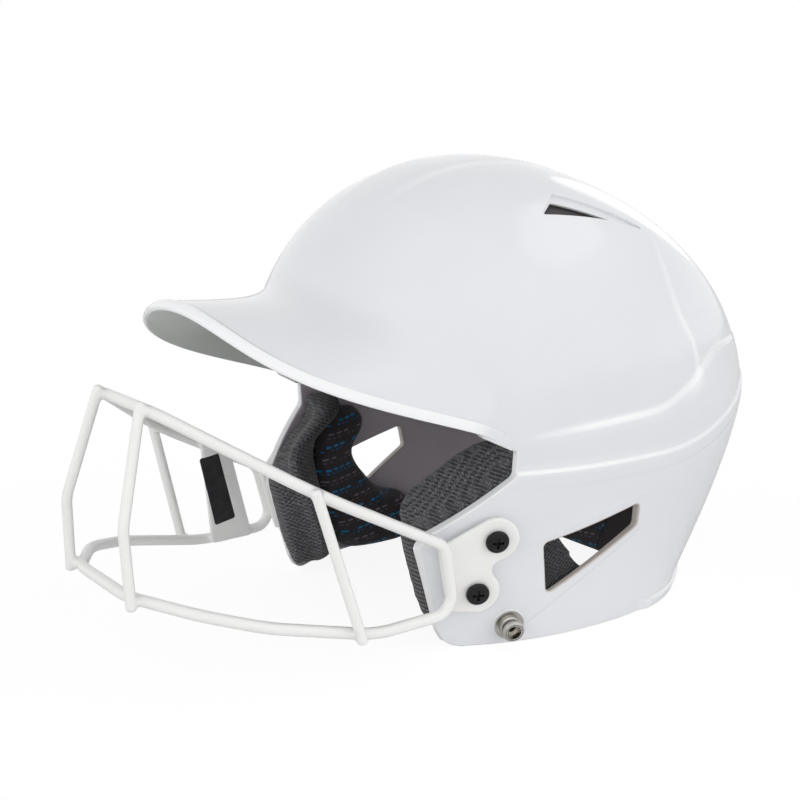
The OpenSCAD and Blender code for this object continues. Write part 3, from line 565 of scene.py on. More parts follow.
def mesh_object(name, points, faces, normals=None, mats=None, materials=()):
    """A mesh object from millimetre points."""
    mesh = bpy.data.meshes.new(name)
    mesh.from_pydata((np.asarray(points) * MM).tolist(), [], [tuple(f) for f in faces])
    for m in materials:
        mesh.materials.append(m)
    if mats is not None:
        mesh.polygons.foreach_set("material_index", np.asarray(mats, np.int32))
    mesh.polygons.foreach_set("use_smooth", np.ones(len(mesh.polygons), bool))
    mesh.validate()
    if normals is not None:
        mesh.normals_split_custom_set_from_vertices(np.asarray(normals).tolist())
    mesh.update()
    obj = bpy.data.objects.new(name, mesh)
    bpy.context.scene.collection.objects.link(obj)
    return obj


def renumbered(*groups):
    """Indices used in groups of tuples, and the groups with those indices counted from 0."""
    used = sorted({i for group in groups for g in group for i in g})
    back = {o: n for n, o in enumerate(used)}
    return (used,) + tuple([tuple(back[i] for i in g) for g in group] for group in groups)


BISECTIONS = 11


def clip(ts, ss, mask, bill):
    """Cuts the grid ts x ss along mask = 0. Gives places, polygons and directed cut segments."""
    T, S = np.meshgrid(ts, ss, indexing="ij")
    M = mask(T, S, bill)
    keep = np.where(np.abs(M) < 1e-6, 1e-6, M) > 0
    idx = np.arange(T.size).reshape(T.shape)
    places, edge_ids, start = [np.stack([T.ravel(), S.ravel()], -1)], [], T.size
    # Grid edges that the cut crosses, first along t and then along s
    for near, far in ((np.s_[:-1, :], np.s_[1:, :]), (np.s_[:, :-1], np.s_[:, 1:])):
        hit = keep[near] != keep[far]
        lo, hi = (np.stack([T[at][hit], S[at][hit]], -1) for at in (near, far))
        inside = keep[near][hit]
        for _ in range(BISECTIONS):
            mid = (lo + hi) / 2
            same = (mask(mid[:, 0], mid[:, 1], bill) > 0) == inside
            lo = np.where(same[:, None], mid, lo)
            hi = np.where(same[:, None], hi, mid)
        ids = -np.ones(hit.shape, int)
        ids[hit] = start + np.arange(len(lo))
        start += len(lo)
        places.append((lo + hi) / 2)
        edge_ids.append(ids)
    et, es = edge_ids
    polys, segs = [], []
    corner = [keep[:-1, :-1], keep[:-1, 1:], keep[1:, 1:], keep[1:, :-1]]
    full, some = np.all(corner, axis=0), np.any(corner, axis=0)
    for i, j in zip(*np.nonzero(full)):
        polys.append((idx[i, j], idx[i, j + 1], idx[i + 1, j + 1], idx[i + 1, j]))
    for i, j in zip(*np.nonzero(some & ~full)):
        corners = [(i, j), (i, j + 1), (i + 1, j + 1), (i + 1, j)]
        sides = [es[i, j], et[i, j + 1], es[i + 1, j], et[i, j]]
        poly, marks = [], []
        for c, side in zip(corners, sides):
            if keep[c]:
                poly.append(idx[c])
            if side >= 0:
                poly.append(side)
                marks.append((side, keep[c]))
        if len(poly) > 2:
            polys.append(tuple(poly))
        if len(marks) == 2:
            segs.append(tuple(side for side, _ in sorted(marks, key=lambda m: not m[1])))
    used, polys, segs = renumbered(polys, segs)
    return np.concatenate(places)[used], polys, segs


def gradient_out(mask, t, s, bill):
    """Direction in the outer sheet towards the cut."""
    a, b = slopes(outer, t, s, bill)
    mt, ms = slopes(mask, t, s, bill, 0.1, 0.002)
    aa, ab, bb = (a * a).sum(-1), (a * b).sum(-1), (b * b).sum(-1)
    det = np.maximum(1e-9, aa * bb - ab * ab)
    u, v = (bb * mt - ab * ms) / det, (aa * ms - ab * mt) / det
    return -unit(u[..., None] * a + v[..., None] * b)


shell = Build()


def rim(segs, P, nP, Q, nQ, g, rho, mat, inner_round=True):
    """Rounded edge strips from sheet point P over the cut face to sheet point Q."""
    through = Q - P
    span = np.linalg.norm(through, axis=-1, keepdims=True)
    through = through / np.maximum(1e-9, span)
    g = unit(g - (g * through).sum(-1, keepdims=True) * through)
    rho = np.minimum(np.reshape(rho, (-1, 1)), span / 2.2)

    def row(foot, normal, way, angle):
        a = radians(angle)
        return (foot + rho * sin(a) * g + way * rho * (1 - cos(a)) * through,
                unit(cos(a) * normal + sin(a) * g))
    rows = [row(P, nP, 1, angle) for angle in (0, 22, 45, 68, 90)]
    if inner_round:
        rows += [row(Q, nQ, -1, angle) for angle in (90, 60, 30, 0)]
    else:
        rows.append((Q + rho * g, g))
    starts = [shell.add(*r) for r in rows]
    for k, (o, b) in enumerate(segs):
        for r0, r1 in zip(starts[:-1], starts[1:]):
            shell.face((r0 + b, r0 + o, r1 + o, r1 + b), mat if np.isscalar(mat) else mat[k])


# Material numbers of the shell's faces
WHITE, INSIDE, UNDER, CUT, EAR_CUT_SHADE, GROOVE_SHADE = range(6)


def bell(v, width):
    return np.exp(-(v / width) ** 2)


def polish_at(t, s, bill):
    """How much painted highlight the outer sheet gets: lighter lines along its ledges, the bill's
    bead, the crown panel's edges, the flange's top and the rear crease.
    """
    q = fold(t)
    p = outer(t, s, bill)
    x, y, z = np.moveaxis(p, -1, 0)
    crown = 0.8 * bell(np.abs(x) - panel_half(y) - 1.5, 2.2)
    crown = np.where(s < 1, crown * clip01(1 - (np.abs(y - 0.5) / 62) ** 2), 0)
    if bill:
        lip = ramp(2.1, 2.17, s) * (1 - ramp(2.44, 2.52, s))
        return crown + 0.85 * lip * ramp(3, 9, lip_reach(q))
    belt = bell(z - belt_line(q) - 1.7, 1.6) * (0.3 + 0.7 * bell(q + 2, 13)) * ramp(-26, -10, q)
    ear = bell(z - ear_line(q), 1.1) * (1 - 0.7 * ramp(-8, 35, q))
    low = 0.6 * bell(z - edge_z(q) - FLANGE_H - 0.4, 0.7) * ramp(16, 22, q)
    crease = 1.2 * crease_rise(y, z) * ramp(110, 118, z)
    return clip01(crown + np.where(s > 1.5, belt + ear + low, 0) + crease)


def uncut(t, s, bill):
    return np.ones(np.shape(t))


# The bill's groove is painted a darker grey, as shade in it, down to this row, where the bill
# reaches out this far
GROOVE_SHADE_END, GROOVE_SHADE_REACH = 2.047, 9


def paired(ts, ss, bill, mask=uncut):
    """Outer and inner sheets over one block of the grid, joined by rounded edges at the cuts."""
    places, polys, segs = clip(ts, ss, mask, bill)
    if not polys:
        return
    t, s = places.T
    underside = bill and ss[0] == 2 + BEAD_END
    lip = bill and ss[0] == 2
    P, nP = outer(t, s, bill), outer_normal(t, s, bill)
    Q, nQ = inner(t, s, bill), inner_normal(t, s, bill)
    a = shell.add(P, nP, polish_at(t, s, bill))
    b = shell.add(Q, nQ)
    for f in polys:
        at_t, at_s = places[list(f)].mean(0)
        # Painted shade: the faces of the bill's groove get a darker grey material.
        groove = lip and at_s < GROOVE_SHADE_END and lip_reach(at_t) > GROOVE_SHADE_REACH
        shell.face([a + i for i in f], UNDER if underside else GROOVE_SHADE if groove else WHITE)
        shell.face([b + i for i in f[::-1]], INSIDE)
    if segs:
        used, segs = renumbered(segs)
        t, s = t[used], s[used]
        nearest = np.argmin(cut_masks(t, s, bill)[0], axis=0)
        # The ear hole's cut faces get a darker, brownish grey: painted shade inside the hole.
        rim(segs, P[used], nP[used], Q[used], nQ[used], gradient_out(mask, t, s, bill),
            cut_round(t, s, bill),
            [EAR_CUT_SHADE if nearest[o] == 1 and not bill else CUT for o, _ in segs])


FINE = 1


def n_of(n):
    return max(2, int(round(n * FINE)))


def cells(*knots):
    """Grid lines from (start, end, count) runs."""
    out = [knots[0][0]]
    for a, b, n in knots:
        out += list(np.linspace(a, b, n + 1)[1:])
    return np.array(out)


# Bill sector: dome, flare, lip and underside, with the wall's cut edge under it
bill_t = cells((-90, SEAM_T, n_of(72)))
for rows in (cells((0, 1, n_of(40))), cells((1, 2, n_of(36))),
             cells((2, 2 + GROOVE_END, 6), (2 + GROOVE_END, 2 + BEAD_END, 14)),
             cells((2 + BEAD_END, 3, n_of(16)))):
    paired(bill_t, rows, True)
brow_t = cells((-56, SEAM_T, n_of(44)))
paired(bill_t, cells((3, 3.04, 4)), True, cut_mask)
paired(brow_t, cells((3.04, 4, n_of(76))), True, cut_mask)
paired(brow_t, cells((4, 5, n_of(10))), True, cut_mask)
# Side sector round the vent block
front_run, vent_run, rear_run = (SEAM_T, -14, n_of(10)), (-14, 52, n_of(72)), (52, 90, n_of(28))
side_t, vent_t = cells(front_run, vent_run, rear_run), cells(vent_run)
low_t = cells((SEAM_T, -20, n_of(12)), (-20, 14, n_of(44)), (14, 90, n_of(60)))
paired(side_t, cells((0, 0.3, n_of(12))), False)
for run in (front_run, rear_run):
    paired(cells(run), cells((0.3, 1, n_of(28))), False)
paired(side_t, cells((1, 2, n_of(32))), False)
for rows in (cells((2, BELT_END, 9), (BELT_END, PANEL_END, 4), (PANEL_END, EAR_END, 8),
                   (EAR_END, 3, 4)), cells((3, 4, n_of(60))), cells((4, 4.4, 6), (4.4, 5, 4))):
    paired(low_t, rows, False, cut_mask)


# Crown vent: a scooped floor with a hole in its front part
SCOOP_DEPTH, SCOOP_ROUND, HOLE_ROUND = 1.7, 0.5, 0.4


def scoop_mask(t, s, bill):
    return outline_distance(VENT, *vent_xy(outer(t, s, bill))) - SCOOP_ROUND


def hole_mask(t, s, bill):
    return outline_distance(VENT_HOLE, *vent_xy(outer(t, s, bill))) - HOLE_ROUND


def floor_mask(t, s, bill):
    return np.minimum(-scoop_mask(t, s, bill), hole_mask(t, s, bill))


def floor_point(t, s, bill):
    return outer(t, s, bill) - SCOOP_DEPTH * outer_normal(t, s, bill)


for mask, fn, normal, mat in ((scoop_mask, outer, outer_normal, WHITE),
                              (floor_mask, floor_point, outer_normal, WHITE),
                              (hole_mask, inner, inner_normal, INSIDE)):
    places, polys, segs = clip(vent_t, cells((0.3, 1, n_of(60))), mask, False)
    at = (*places.T, False)
    start = shell.add(fn(*at), normal(*at), polish_at(*at) if fn is outer else None)
    for f in polys:
        shell.face([start + i for i in (f[::-1] if mat == INSIDE else f)], mat)
    if mask is floor_mask:
        continue
    used, segs = renumbered(segs)
    at = (*places[used].T, False)
    g = gradient_out(mask, *at)
    n_out, under = outer_normal(*at), floor_point(*at)
    if mask is scoop_mask:
        rim(segs, outer(*at), n_out, under, n_out, g, SCOOP_ROUND, WHITE, inner_round=False)
    else:
        rim(segs, under, n_out, inner(*at), inner_normal(*at), g, HOLE_ROUND, CUT)


# Materials
class Value:
    """Output of a node, with arithmetic."""

    def __init__(self, graph, socket):
        self.graph, self.socket = graph, socket

    def __add__(self, other):
        return self.graph.math("ADD", self, other)

    def __sub__(self, other):
        return self.graph.math("SUBTRACT", self, other)

    def __mul__(self, other):
        return self.graph.math("MULTIPLY", self, other)

    def __truediv__(self, other):
        return self.graph.math("DIVIDE", self, other)

    def __abs__(self):
        return self.graph.math("ABSOLUTE", self)


class Graph:
    """Short calls for a node tree."""

    def __init__(self, tree):
        self.tree = tree

    def put(self, target, value):
        if isinstance(value, Value):
            self.tree.links.new(value.socket, target)
        else:
            target.default_value = value

    def node(self, kind, inputs=None, out=0, **props):
        """Adds a node and gives its output of that number or name."""
        n = self.tree.nodes.new("ShaderNode" + kind)
        for k, v in props.items():
            setattr(n, k, v)
        for k, v in (inputs or {}).items():
            self.put(n.inputs[k], v)
        return Value(self, n.outputs[out])

    def axes(self, vector):
        """The three parts of a vector."""
        x = self.node("SeparateXYZ", {0: vector})
        return [Value(self, s) for s in x.socket.node.outputs]

    def coords(self):
        return self.node("TexCoord", out="Object")

    def noise(self, scale, detail=3, rough=0.5, vector=None):
        return self.node("TexNoise", {"Vector": vector or self.coords(), "Scale": scale,
                                      "Detail": detail, "Roughness": rough}, "Fac")

    def math(self, op, a, b=0.0, clamp=False):
        return self.node("Math", {0: a, 1: b}, operation=op, use_clamp=clamp)

    def vector(self, op, a, b, out=0):
        return self.node("VectorMath", {0: a, 1: b}, out, operation=op)

    def mix(self, fac, a, b):
        return self.node("Mix", {0: fac, 6: a, 7: b}, 2, data_type="RGBA")

    def map(self, v, a, b, c, d, smooth=False):
        return self.node("MapRange", {0: v, 1: a, 2: b, 3: c, 4: d},
                         interpolation_type="SMOOTHSTEP" if smooth else "LINEAR")

    def bump(self, height, strength, distance, normal=None):
        inputs = {"Height": height, "Strength": strength, "Distance": distance}
        return self.node("Bump", {**inputs, "Normal": normal} if normal else inputs)

    def line_distance(self, place, points):
        """Distance of a place (y, z, 0) to an open line of points in mm."""
        best = None
        for a, b in zip(points[:-1], points[1:]):
            a, b = (Vector((*v, 0)) * MM for v in (a, b))
            w = self.vector("SUBTRACT", place, a)
            u = self.vector("DOT_PRODUCT", w, (b - a) / (b - a).length_squared, "Value")
            u = self.math("ADD", u, 0.0, clamp=True)
            near = self.node("VectorMath", {0: b - a, "Scale": u}, operation="SCALE")
            d = self.vector("DISTANCE", w, near, "Value")
            best = self.math("MINIMUM", best, d) if best else d
        return best


class Nodes(Graph):
    """A procedural material."""

    def __init__(self, name, **values):
        self.mat = bpy.data.materials.new(name)
        self.mat.use_nodes = True
        super().__init__(self.mat.node_tree)
        self.shader = self.tree.nodes["Principled BSDF"]
        for key, value in values.items():
            self.link(value, key.replace("_", " "))

    def link(self, value, name):
        self.put(self.shader.inputs[name], value)


def rgb(r, g, b):
    """Linear colour from screen values 0 to 255."""
    def f(v):
        v /= 255
        return v / 12.92 if v < 0.04045 else ((v + 0.055) / 1.055) ** 2.4
    return (f(r), f(g), f(b), 1)


def surface(name, tones, patch, gloss, grain, **values):
    """Two tones in soft patches, varied gloss and a fine grain.

    patch is the scale, detail, start and end of the patches' noise, gloss the scale, detail, least
    and most of the roughness, and grain the scale, strength and depth of the bump."""
    m = Nodes(name, **values)
    m.tone = m.mix(m.map(m.noise(*patch[:2]), *patch[2:], 0, 1), *tones)
    m.link(m.tone, "Base Color")
    if gloss:
        m.link(m.map(m.noise(*gloss[:2]), 0.3, 0.7, *gloss[2:]), "Roughness")
    m.grain = m.bump(m.noise(grain[0], 2), *grain[1:])
    m.link(m.grain, "Normal")
    return m


def plastic(name, tone, tone2, rough, coat=0.0, peel=0.02, scale=260, coat_rough=0.06, **values):
    return surface(name, (tone, tone2), (14, 4, 0.35, 0.65), (38, 3, rough - 0.04, rough + 0.05),
                   (scale, peel, 0.0004), Coat_Weight=coat, Coat_Roughness=coat_rough, **values)


PANEL_CREASES = [[(-31, 7), (-12, 21), (9, 35), (31, 48)], [(-37, 51), (-12, 58), (32, 68)]]


def shell_gloss():
    """Glossy moulded white, lightened by painted highlights along its ledges and edges, with the
    faint creases of the side panels in its surface.
    """
    m = plastic("shell_gloss", rgb(227, 228, 232), rgb(231, 232, 235), 0.19, 0.6, coat_rough=0.05)
    # Painted highlight: the attribute mixes the white towards 250 grey along the ledges and edges.
    ridge_highlight = m.node("Attribute", out="Fac", attribute_name="polish")
    m.link(m.mix(ridge_highlight, m.tone, rgb(250, 250, 250)), "Base Color")
    x, y, z = m.axes(m.coords())
    place = m.node("CombineXYZ", {0: y, 1: z})
    low = m.map(m.line_distance(place, PANEL_CREASES[0]), 0, 0.0006, -0.35, 0, True)
    high = m.map(m.line_distance(place, PANEL_CREASES[1]), 0, 0.0022, 0.3, 0, True)
    at_side = m.map(abs(x), 0.05, 0.06, 0, 1)
    m.link(m.bump((low + high) * at_side, 0.8, 0.0006, m.grain), "Normal")
    return m.mat


M_SHELL = shell_gloss()
# Plain plastics: name, two tones, roughness, coat, grain's strength and scale
M_GROOVE_SHADE, M_EAR_CUT_SHADE, M_CUT, M_INSIDE, M_UNDER = (plastic(*values).mat for values in (
    # The groove's darker grey is painted shade.
    ("shell_groove_painted_shade", rgb(178, 180, 185), rgb(190, 192, 197), 0.4, 0.0, 0.02, 300),
    # The ear hole's cut faces: a darker, warmer grey than the other cut faces, painted shade.
    ("ear_cut_face_painted_shade", rgb(198, 190, 184), rgb(208, 201, 196), 0.42, 0.0, 0.08, 700),
    ("shell_cut_face", rgb(234, 234, 235), rgb(238, 238, 238), 0.34, 0.1, 0.05, 700),
    ("shell_inside", rgb(224, 215, 221), rgb(232, 225, 230), 0.5, 0.0, 0.12, 500),
    ("bill_underside", rgb(212, 215, 211), rgb(220, 223, 219), 0.32, 0.1, 0.05, 300)))
M_GUARD = surface("guard_coating", (rgb(243, 242, 240), rgb(241, 241, 239)), (40, 3, 0.35, 0.65),
                  (120, 2, 0.28, 0.32), (240, 0.02, 0.0003),
                  Coat_Weight=0.35, Coat_Roughness=0.12).mat
ZINC = rgb(176, 174, 168)
M_NUT = surface("plated_nut", (ZINC, tuple(0.82 * v for v in ZINC[:3]) + (1,)),
                (90, 3, 0.4, 0.65), (300, 2, 0.3, 0.46), (600, 0.08, 0.0003), Metallic=1.0).mat
M_BLACK = plastic("screw_black", rgb(16, 16, 17), rgb(24, 24, 26), 0.24, 0.0, 0.05, 900,
                  Specular_IOR_Level=0.3).mat
M_LABEL = surface("label_film", (rgb(30, 30, 32), rgb(46, 46, 49)), (220, 3, 0.35, 0.7), None,
                  (700, 0.1, 0.0002), Roughness=0.42).mat


def knit(name, dark, light, rib=0.002):
    """Heather knit: slanted ribs of loops with pale flecks."""
    m = Nodes(name, Roughness=0.88, Sheen_Weight=0.2, Sheen_Roughness=0.5, Specular_IOR_Level=0.25)
    c = m.coords()
    _, y, z = m.axes(c)
    z = z + (m.noise(90, 2, 0.5, c) - 0.5) * 0.0012
    rows = m.math("SINE", (z + y * 0.45) / rib * (2 * pi))
    stitch = m.math("SINE", (y - z * 0.7) * (2 * pi / (rib * 1.1)))
    loops = m.map(rows + stitch * 0.8, -1.7, 1.7, 0, 1)
    fleck = m.map(m.noise(1500, 3, 0.75, c), 0.46, 0.66, 0, 1, True)
    tone = m.mix(fleck * 0.7, dark, light)
    between = (0.010, 0.010, 0.011, 1)
    m.link(m.mix(m.map(loops, 0.1, 0.62, 0.22, 1.0, True), between, tone), "Base Color")
    m.link(m.bump(loops, 0.7, 0.0006), "Normal")
    return m.mat


M_JAW = knit("jaw_knit", rgb(70, 70, 72), rgb(156, 156, 159))
# A darker copy of the jaw knit, painted shade for the cushions' outward sides in the ear holes.
M_EAR_BACK_SHADE = knit("ear_back_knit_painted_shade", rgb(34, 34, 36), rgb(104, 104, 108), 0.0019)
# Dashes of the liner's print: colour, pitch, row height, half length, half width, shift of each
# row in pitches, and shift of all rows in rows
ROW = 0.0122
DASHES = ((rgb(160, 142, 160), 0.0052, 0.0013, 0.00042, 0.61, 0.5),
          (rgb(126, 116, 132), 0.0036, 0.0006, 0.00036, 0.43, 0.66),
          (rgb(20, 158, 222), 0.0048, 0.0011, 0.00062, 0.37, 0.0),
          (rgb(14, 136, 196), 0.0030, 0.0003, 0.00045, 0.21, 0.16))
SLANT = radians(6)


def liner(name, axis, motif=True, seam=None):
    """Black liner fabric; with motif, rows of fine blue and grey-mauve dashes along axis."""
    m = Nodes(name, Roughness=0.82, Sheen_Weight=0.3, Sheen_Roughness=0.45)
    c = m.coords()
    parts = m.axes(c)
    x, z = parts[axis], parts[2]
    weave = m.node("TexWave", {"Vector": c, "Scale": 520, "Distortion": 1.2, "Detail": 1}, "Fac",
                   bands_direction="Z")
    base = m.mix(weave * 0.7, (0.032, 0.027, 0.030, 1), (0.098, 0.084, 0.091, 1))
    tone = base

    def dashes(pitch, half_l, half_w, skip, shift):
        w = z * cos(SLANT) - x * sin(SLANT) + shift * ROW
        line = m.math("FLOOR", w / ROW)
        step = (x * cos(SLANT) + z * sin(SLANT) + line * (pitch * skip)) / pitch
        du = m.math("MAXIMUM", abs(m.math("FRACT", step) - 0.5) * pitch - half_l, 0)
        dw = (m.math("FRACT", w / ROW) - 0.5) * ROW
        d = m.math("SQRT", du * du + dw * dw)
        # Every fourth place of a row stays empty, so that the dashes fall into groups
        gap = m.math("FRACT", m.math("FLOOR", step) / 4 + line * 0.31)
        return m.map(d, half_w * 0.8, half_w * 1.2, 1, 0) * m.map(gap, 0.2, 0.26, 0, 1)

    if motif:
        worn = m.map(m.noise(1100, 2, 0.6, c), 0.34, 0.5, 0.25, 1)
        for tint, *sizes in DASHES:
            tone = m.mix(dashes(*sizes) * worn, tone, tint)
    height = weave
    if seam:
        # The motif ends at a slanted sewn seam on either side
        edge = abs(parts[0]) - (parts[2] * seam[1] + seam[0])
        tone = m.mix(m.map(edge, -0.0002, 0.0002, 0, 1), tone, base)
        groove = m.map(abs(edge), 0, 0.0012, 0, 1, True)
        tone = m.mix(groove, (0.004, 0.004, 0.005, 1), tone)
        height = weave + groove * 4
    m.link(tone, "Base Color")
    m.link(m.bump(height, 0.5, 0.0004), "Normal")
    return m.mat


M_LINER = liner("liner_print_side", 1)
M_LINER_X = liner("liner_print_front", 0)
M_NAPE = liner("liner_print_nape", 0, True, (0.0087, 0.4746))
M_PLAIN = liner("liner_plain", 1, False)


# Shell object: the sheets, and the bosses under the screws and the studs
def add_lathe(profile, place, mat, sides=48):
    """Turned solid of profile [(r, h)]; place puts its local points into the part."""
    a = np.linspace(0, 2 * pi, sides, endpoint=False)

    def ring(r, h):
        return np.stack([r * np.cos(a), r * np.sin(a), np.full(sides, h)], -1)

    for (r0, h0), (r1, h1) in zip(profile[:-1], profile[1:]):
        lo, hi = place(ring(r0, h0)), place(ring(r1, h1))
        n = unit(place(ring(r0, h0) + ring(*unit(A3([h1 - h0, r0 - r1])))) - lo)
        i0, i1 = shell.add(lo, n), shell.add(hi, n)
        for j in range(sides):
            j2 = (j + 1) % sides
            shell.face((i0 + j, i0 + j2, i1 + j2, i1 + j), mat)


def skin_normal(t, z):
    a = skin(np.float64(t + 1), z, 0) - skin(np.float64(t - 1), z, 0)
    b = skin(np.float64(t), z + 1, 0) - skin(np.float64(t), z - 1, 0)
    return unit(np.cross(a, b))


def framed(origin, normal):
    """Frame of a plate or stud: local x rearward, y up along it, z outward."""
    yaw, tilt = atan2(normal[1], normal[0]), -asin(normal[2])

    def place(p):
        y, z, x = np.moveaxis(np.asarray(p, float), -1, 0)
        x, z = x * cos(tilt) + z * sin(tilt), z * cos(tilt) - x * sin(tilt)
        return np.stack([x * cos(yaw) - y * sin(yaw), x * sin(yaw) + y * cos(yaw), z], -1) + origin
    return place


def on_panel(t, z):
    return skin(np.float64(t), z, panel_out(np.float64(t), z))


OUTWARD = A3([0, 0, 1.0])
SCREW_T, SCREW_Z, PITCH, STAND = -29.15, 57.3, 27.3, 2.5
STUD_T, STUD_Z, STUD_STAND = -24.1, 10.5, 0.5
plate_n = skin_normal(SCREW_T - 2, SCREW_Z - PITCH / 2)
stud_n = skin_normal(STUD_T, STUD_Z)
screw_foot = on_panel(SCREW_T, SCREW_Z) + STAND * framed(np.zeros(3), plate_n)(OUTWARD)
on_plate = framed(screw_foot, plate_n)
on_stud = framed(on_panel(STUD_T, STUD_Z) + STUD_STAND * stud_n, stud_n)
LOWER = A3([-7.8, -sqrt(PITCH ** 2 - 7.8 ** 2), 0])


def stud_steel():
    """Bright turned steel with painted shade in its bore and along a ring groove; both are told by
    the distance from the axis.
    """
    m = surface("stainless", (rgb(206, 203, 197), rgb(184, 181, 174)), (160, 3, 0.4, 0.65),
                (300, 2, 0.16, 0.26), (700, 0.03, 0.0002), Metallic=1.0)
    x, y, z = m.axes(m.coords())
    foot = Vector(on_stud(np.zeros(3)))
    arm = m.vector("SUBTRACT", m.node("CombineXYZ", {0: abs(x), 1: y, 2: z}), foot * MM)
    cross = m.vector("CROSS_PRODUCT", arm, Vector(on_stud(OUTWARD)) - foot)
    r = m.vector("LENGTH", cross, (0, 0, 0), "Value")
    # Painted shade: a dark line along the ring groove and a dark bore in the middle.
    groove = m.map(abs(r - 0.0041), 0, 0.00035, 1, 0, True)
    tone = m.mix(groove * 0.7, m.tone, rgb(70, 66, 62))
    m.link(m.mix(m.map(r, 0.0019, 0.0023, 1, 0, True), tone, rgb(52, 46, 42)), "Base Color")
    return m.mat


M_STEEL = stud_steel()
for place, stand, r in ((on_plate, STAND, 7.4), (lambda p: on_plate(p + LOWER), STAND, 7.4),
                        (on_stud, STUD_STAND, 7.6)):
    add_lathe([(r + 2, -stand - 2.1), (r, -0.5), (r - 0.5, -0.05), (0.01, -0.05)], place, WHITE)

pts, nrm, polish, faces, mats = welded(*shell.mirrored())
shell_obj = mesh_object("helmet_shell", pts, faces, nrm, mats,
                        (M_SHELL, M_INSIDE, M_UNDER, M_CUT, M_EAR_CUT_SHADE, M_GROOVE_SHADE))
# The shares of painted highlight go with the shell as a point attribute.
shell_obj.data.attributes.new("polish", "FLOAT", "POINT").data.foreach_set("value", polish)
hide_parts("shell")
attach(shell_obj, "helmet")


# Guard: wires, welds and plates as one coated weldment
WIRE, UPRIGHT, PLATE = 5.5, 5.0, 2.6
GUARD_FRONT, GUARD_HALF, UP_HALF, TOP_Z, LOW_Z = 203.5, 78, 22.5, 120, 40.5
ON_FACE, LAP, OVER, BLOB_R = PLATE + WIRE / 2 + 0.1, WIRE / 2 + UPRIGHT / 2 + 0.1, 2.4, 3.0
hoop_top = A3([UP_HALF + 5.5, 16.7 - GUARD_FRONT, TOP_Z])
hoop_side = A3([GUARD_HALF, 66.3 - GUARD_FRONT, TOP_Z - 32.2])
end_top = on_plate(A3([-24.6, 0.4, ON_FACE]))
end_low = on_plate(A3([-18.6, -33.8, ON_FACE]))
hoop_low = [A3([GUARD_HALF + 5.3, 91.8 - GUARD_FRONT, LOW_Z - 19.1]),
            A3([GUARD_HALF - 3.3, 43.5 - GUARD_FRONT, LOW_Z - 8.5]),
            A3([GUARD_HALF - 19.8, 19.6 - GUARD_FRONT, LOW_Z - 2.8]),
            A3([UP_HALF + 3, 0.9 - GUARD_FRONT, LOW_Z])]
corners = [hoop_top, hoop_side, end_top, end_low] + hoop_low
radii = [14, 60, 9, 9, 60, 40, 40, 30]
ring = corners + [c * MIRROR for c in corners[::-1]]
hoop_path = rounded(ring, radii + radii[::-1], 12)


def resampled(path, step, closed):
    p = np.array(path + ([path[0]] if closed else []))
    d = np.concatenate([[0], np.cumsum(np.linalg.norm(np.diff(p, axis=0), axis=1))])
    at = np.linspace(0, d[-1], max(2, int(d[-1] / step)) + 1)
    q = np.stack([np.interp(at, d, p[:, k]) for k in range(3)], -1)
    return q[:-1] if closed else q


def ring_faces(n, sides, closed=False):
    """Faces between n rings of points. An open run of rings gets end caps."""
    faces = []
    for i in range(n if closed else n - 1):
        for k in range(sides):
            k2, i2 = (k + 1) % sides, (i + 1) % n
            faces.append((i * sides + k, i2 * sides + k, i2 * sides + k2, i * sides + k2))
    if not closed:
        faces += [tuple(range(sides)), tuple(range(n * sides - 1, (n - 1) * sides - 1, -1))]
    return faces


def tube(path, r, closed, sides=20):
    """Points and faces of a round wire, with domed ends when open."""
    q = resampled(path, 2.2, closed)
    along = unit(np.roll(q, -1, 0) - np.roll(q, 1, 0) if closed else np.gradient(q, axis=0))
    out = np.stack([q[:, 0], q[:, 1] + 95, np.zeros(len(q))], -1)
    e1 = unit(out - (out * along).sum(1, keepdims=True) * along)
    e2 = np.cross(along, e1)
    a = np.linspace(0, 2 * pi, sides, endpoint=False)
    spokes = [r * (np.cos(a)[:, None] * u + np.sin(a)[:, None] * v) for u, v in zip(e1, e2)]
    rings = [c + spoke for c, spoke in zip(q, spokes)]

    def dome(i, sign):
        return [q[i] + sign * along[i] * r * sin(w) * 0.55 + cos(w) * spokes[i]
                for w in np.radians([84, 60, 35, 15])]
    if not closed:
        rings = dome(0, -1) + rings + dome(len(q) - 1, 1)[::-1]
    return np.concatenate(rings), ring_faces(len(rings), sides, closed)


def blob(center, r, sides=14):
    """Weld bead."""
    b = 2 * pi * np.arange(sides) / sides
    rings = [np.stack([sin(w) * np.cos(b), sin(w) * np.sin(b), np.full(sides, cos(w))], -1)
             for w in pi * np.arange(1, 8) / 8]
    return center + r * np.concatenate(rings), ring_faces(len(rings), sides)


def lapped(foot, tangent, along):
    return foot + LAP * unit(np.cross(tangent, along))


knee = A3([UP_HALF + 8.8, -GUARD_FRONT - 2, 72.5])
top_foot = A3([UP_HALF, hoop_top[1], hoop_top[2]])
low_foot = lerp(hoop_low[2], hoop_low[3], 0.84)
center_top = lapped(top_foot, A3([-1, 0, 0]), A3([8.8, -15, -51]))
center_low = lapped(low_foot, hoop_low[2] - hoop_low[3], A3([-1.9, -1.5, 32]))
side_bend = bend(hoop_side, hoop_top, end_top, 60, 2)
side_foot = lerp(hoop_low[0], hoop_low[1], 0.18)
side_along = A3([5.5, 15, -66.3])
side_top = lapped(side_bend[1], side_bend[0] - side_bend[2], side_along)
side_low = lapped(side_foot, hoop_low[0] - hoop_low[1], -side_along)
top_end = center_top + OVER * unit(center_top - knee)
low_end = center_low + OVER * unit(center_low - knee)
center_path = [top_end] + bend(knee, top_end, low_end, 20, 8) + [low_end]
over = OVER * unit(side_top - side_low)
side_path = [side_top + over, side_low - over]
solids = [tube(hoop_path, WIRE / 2, True)]
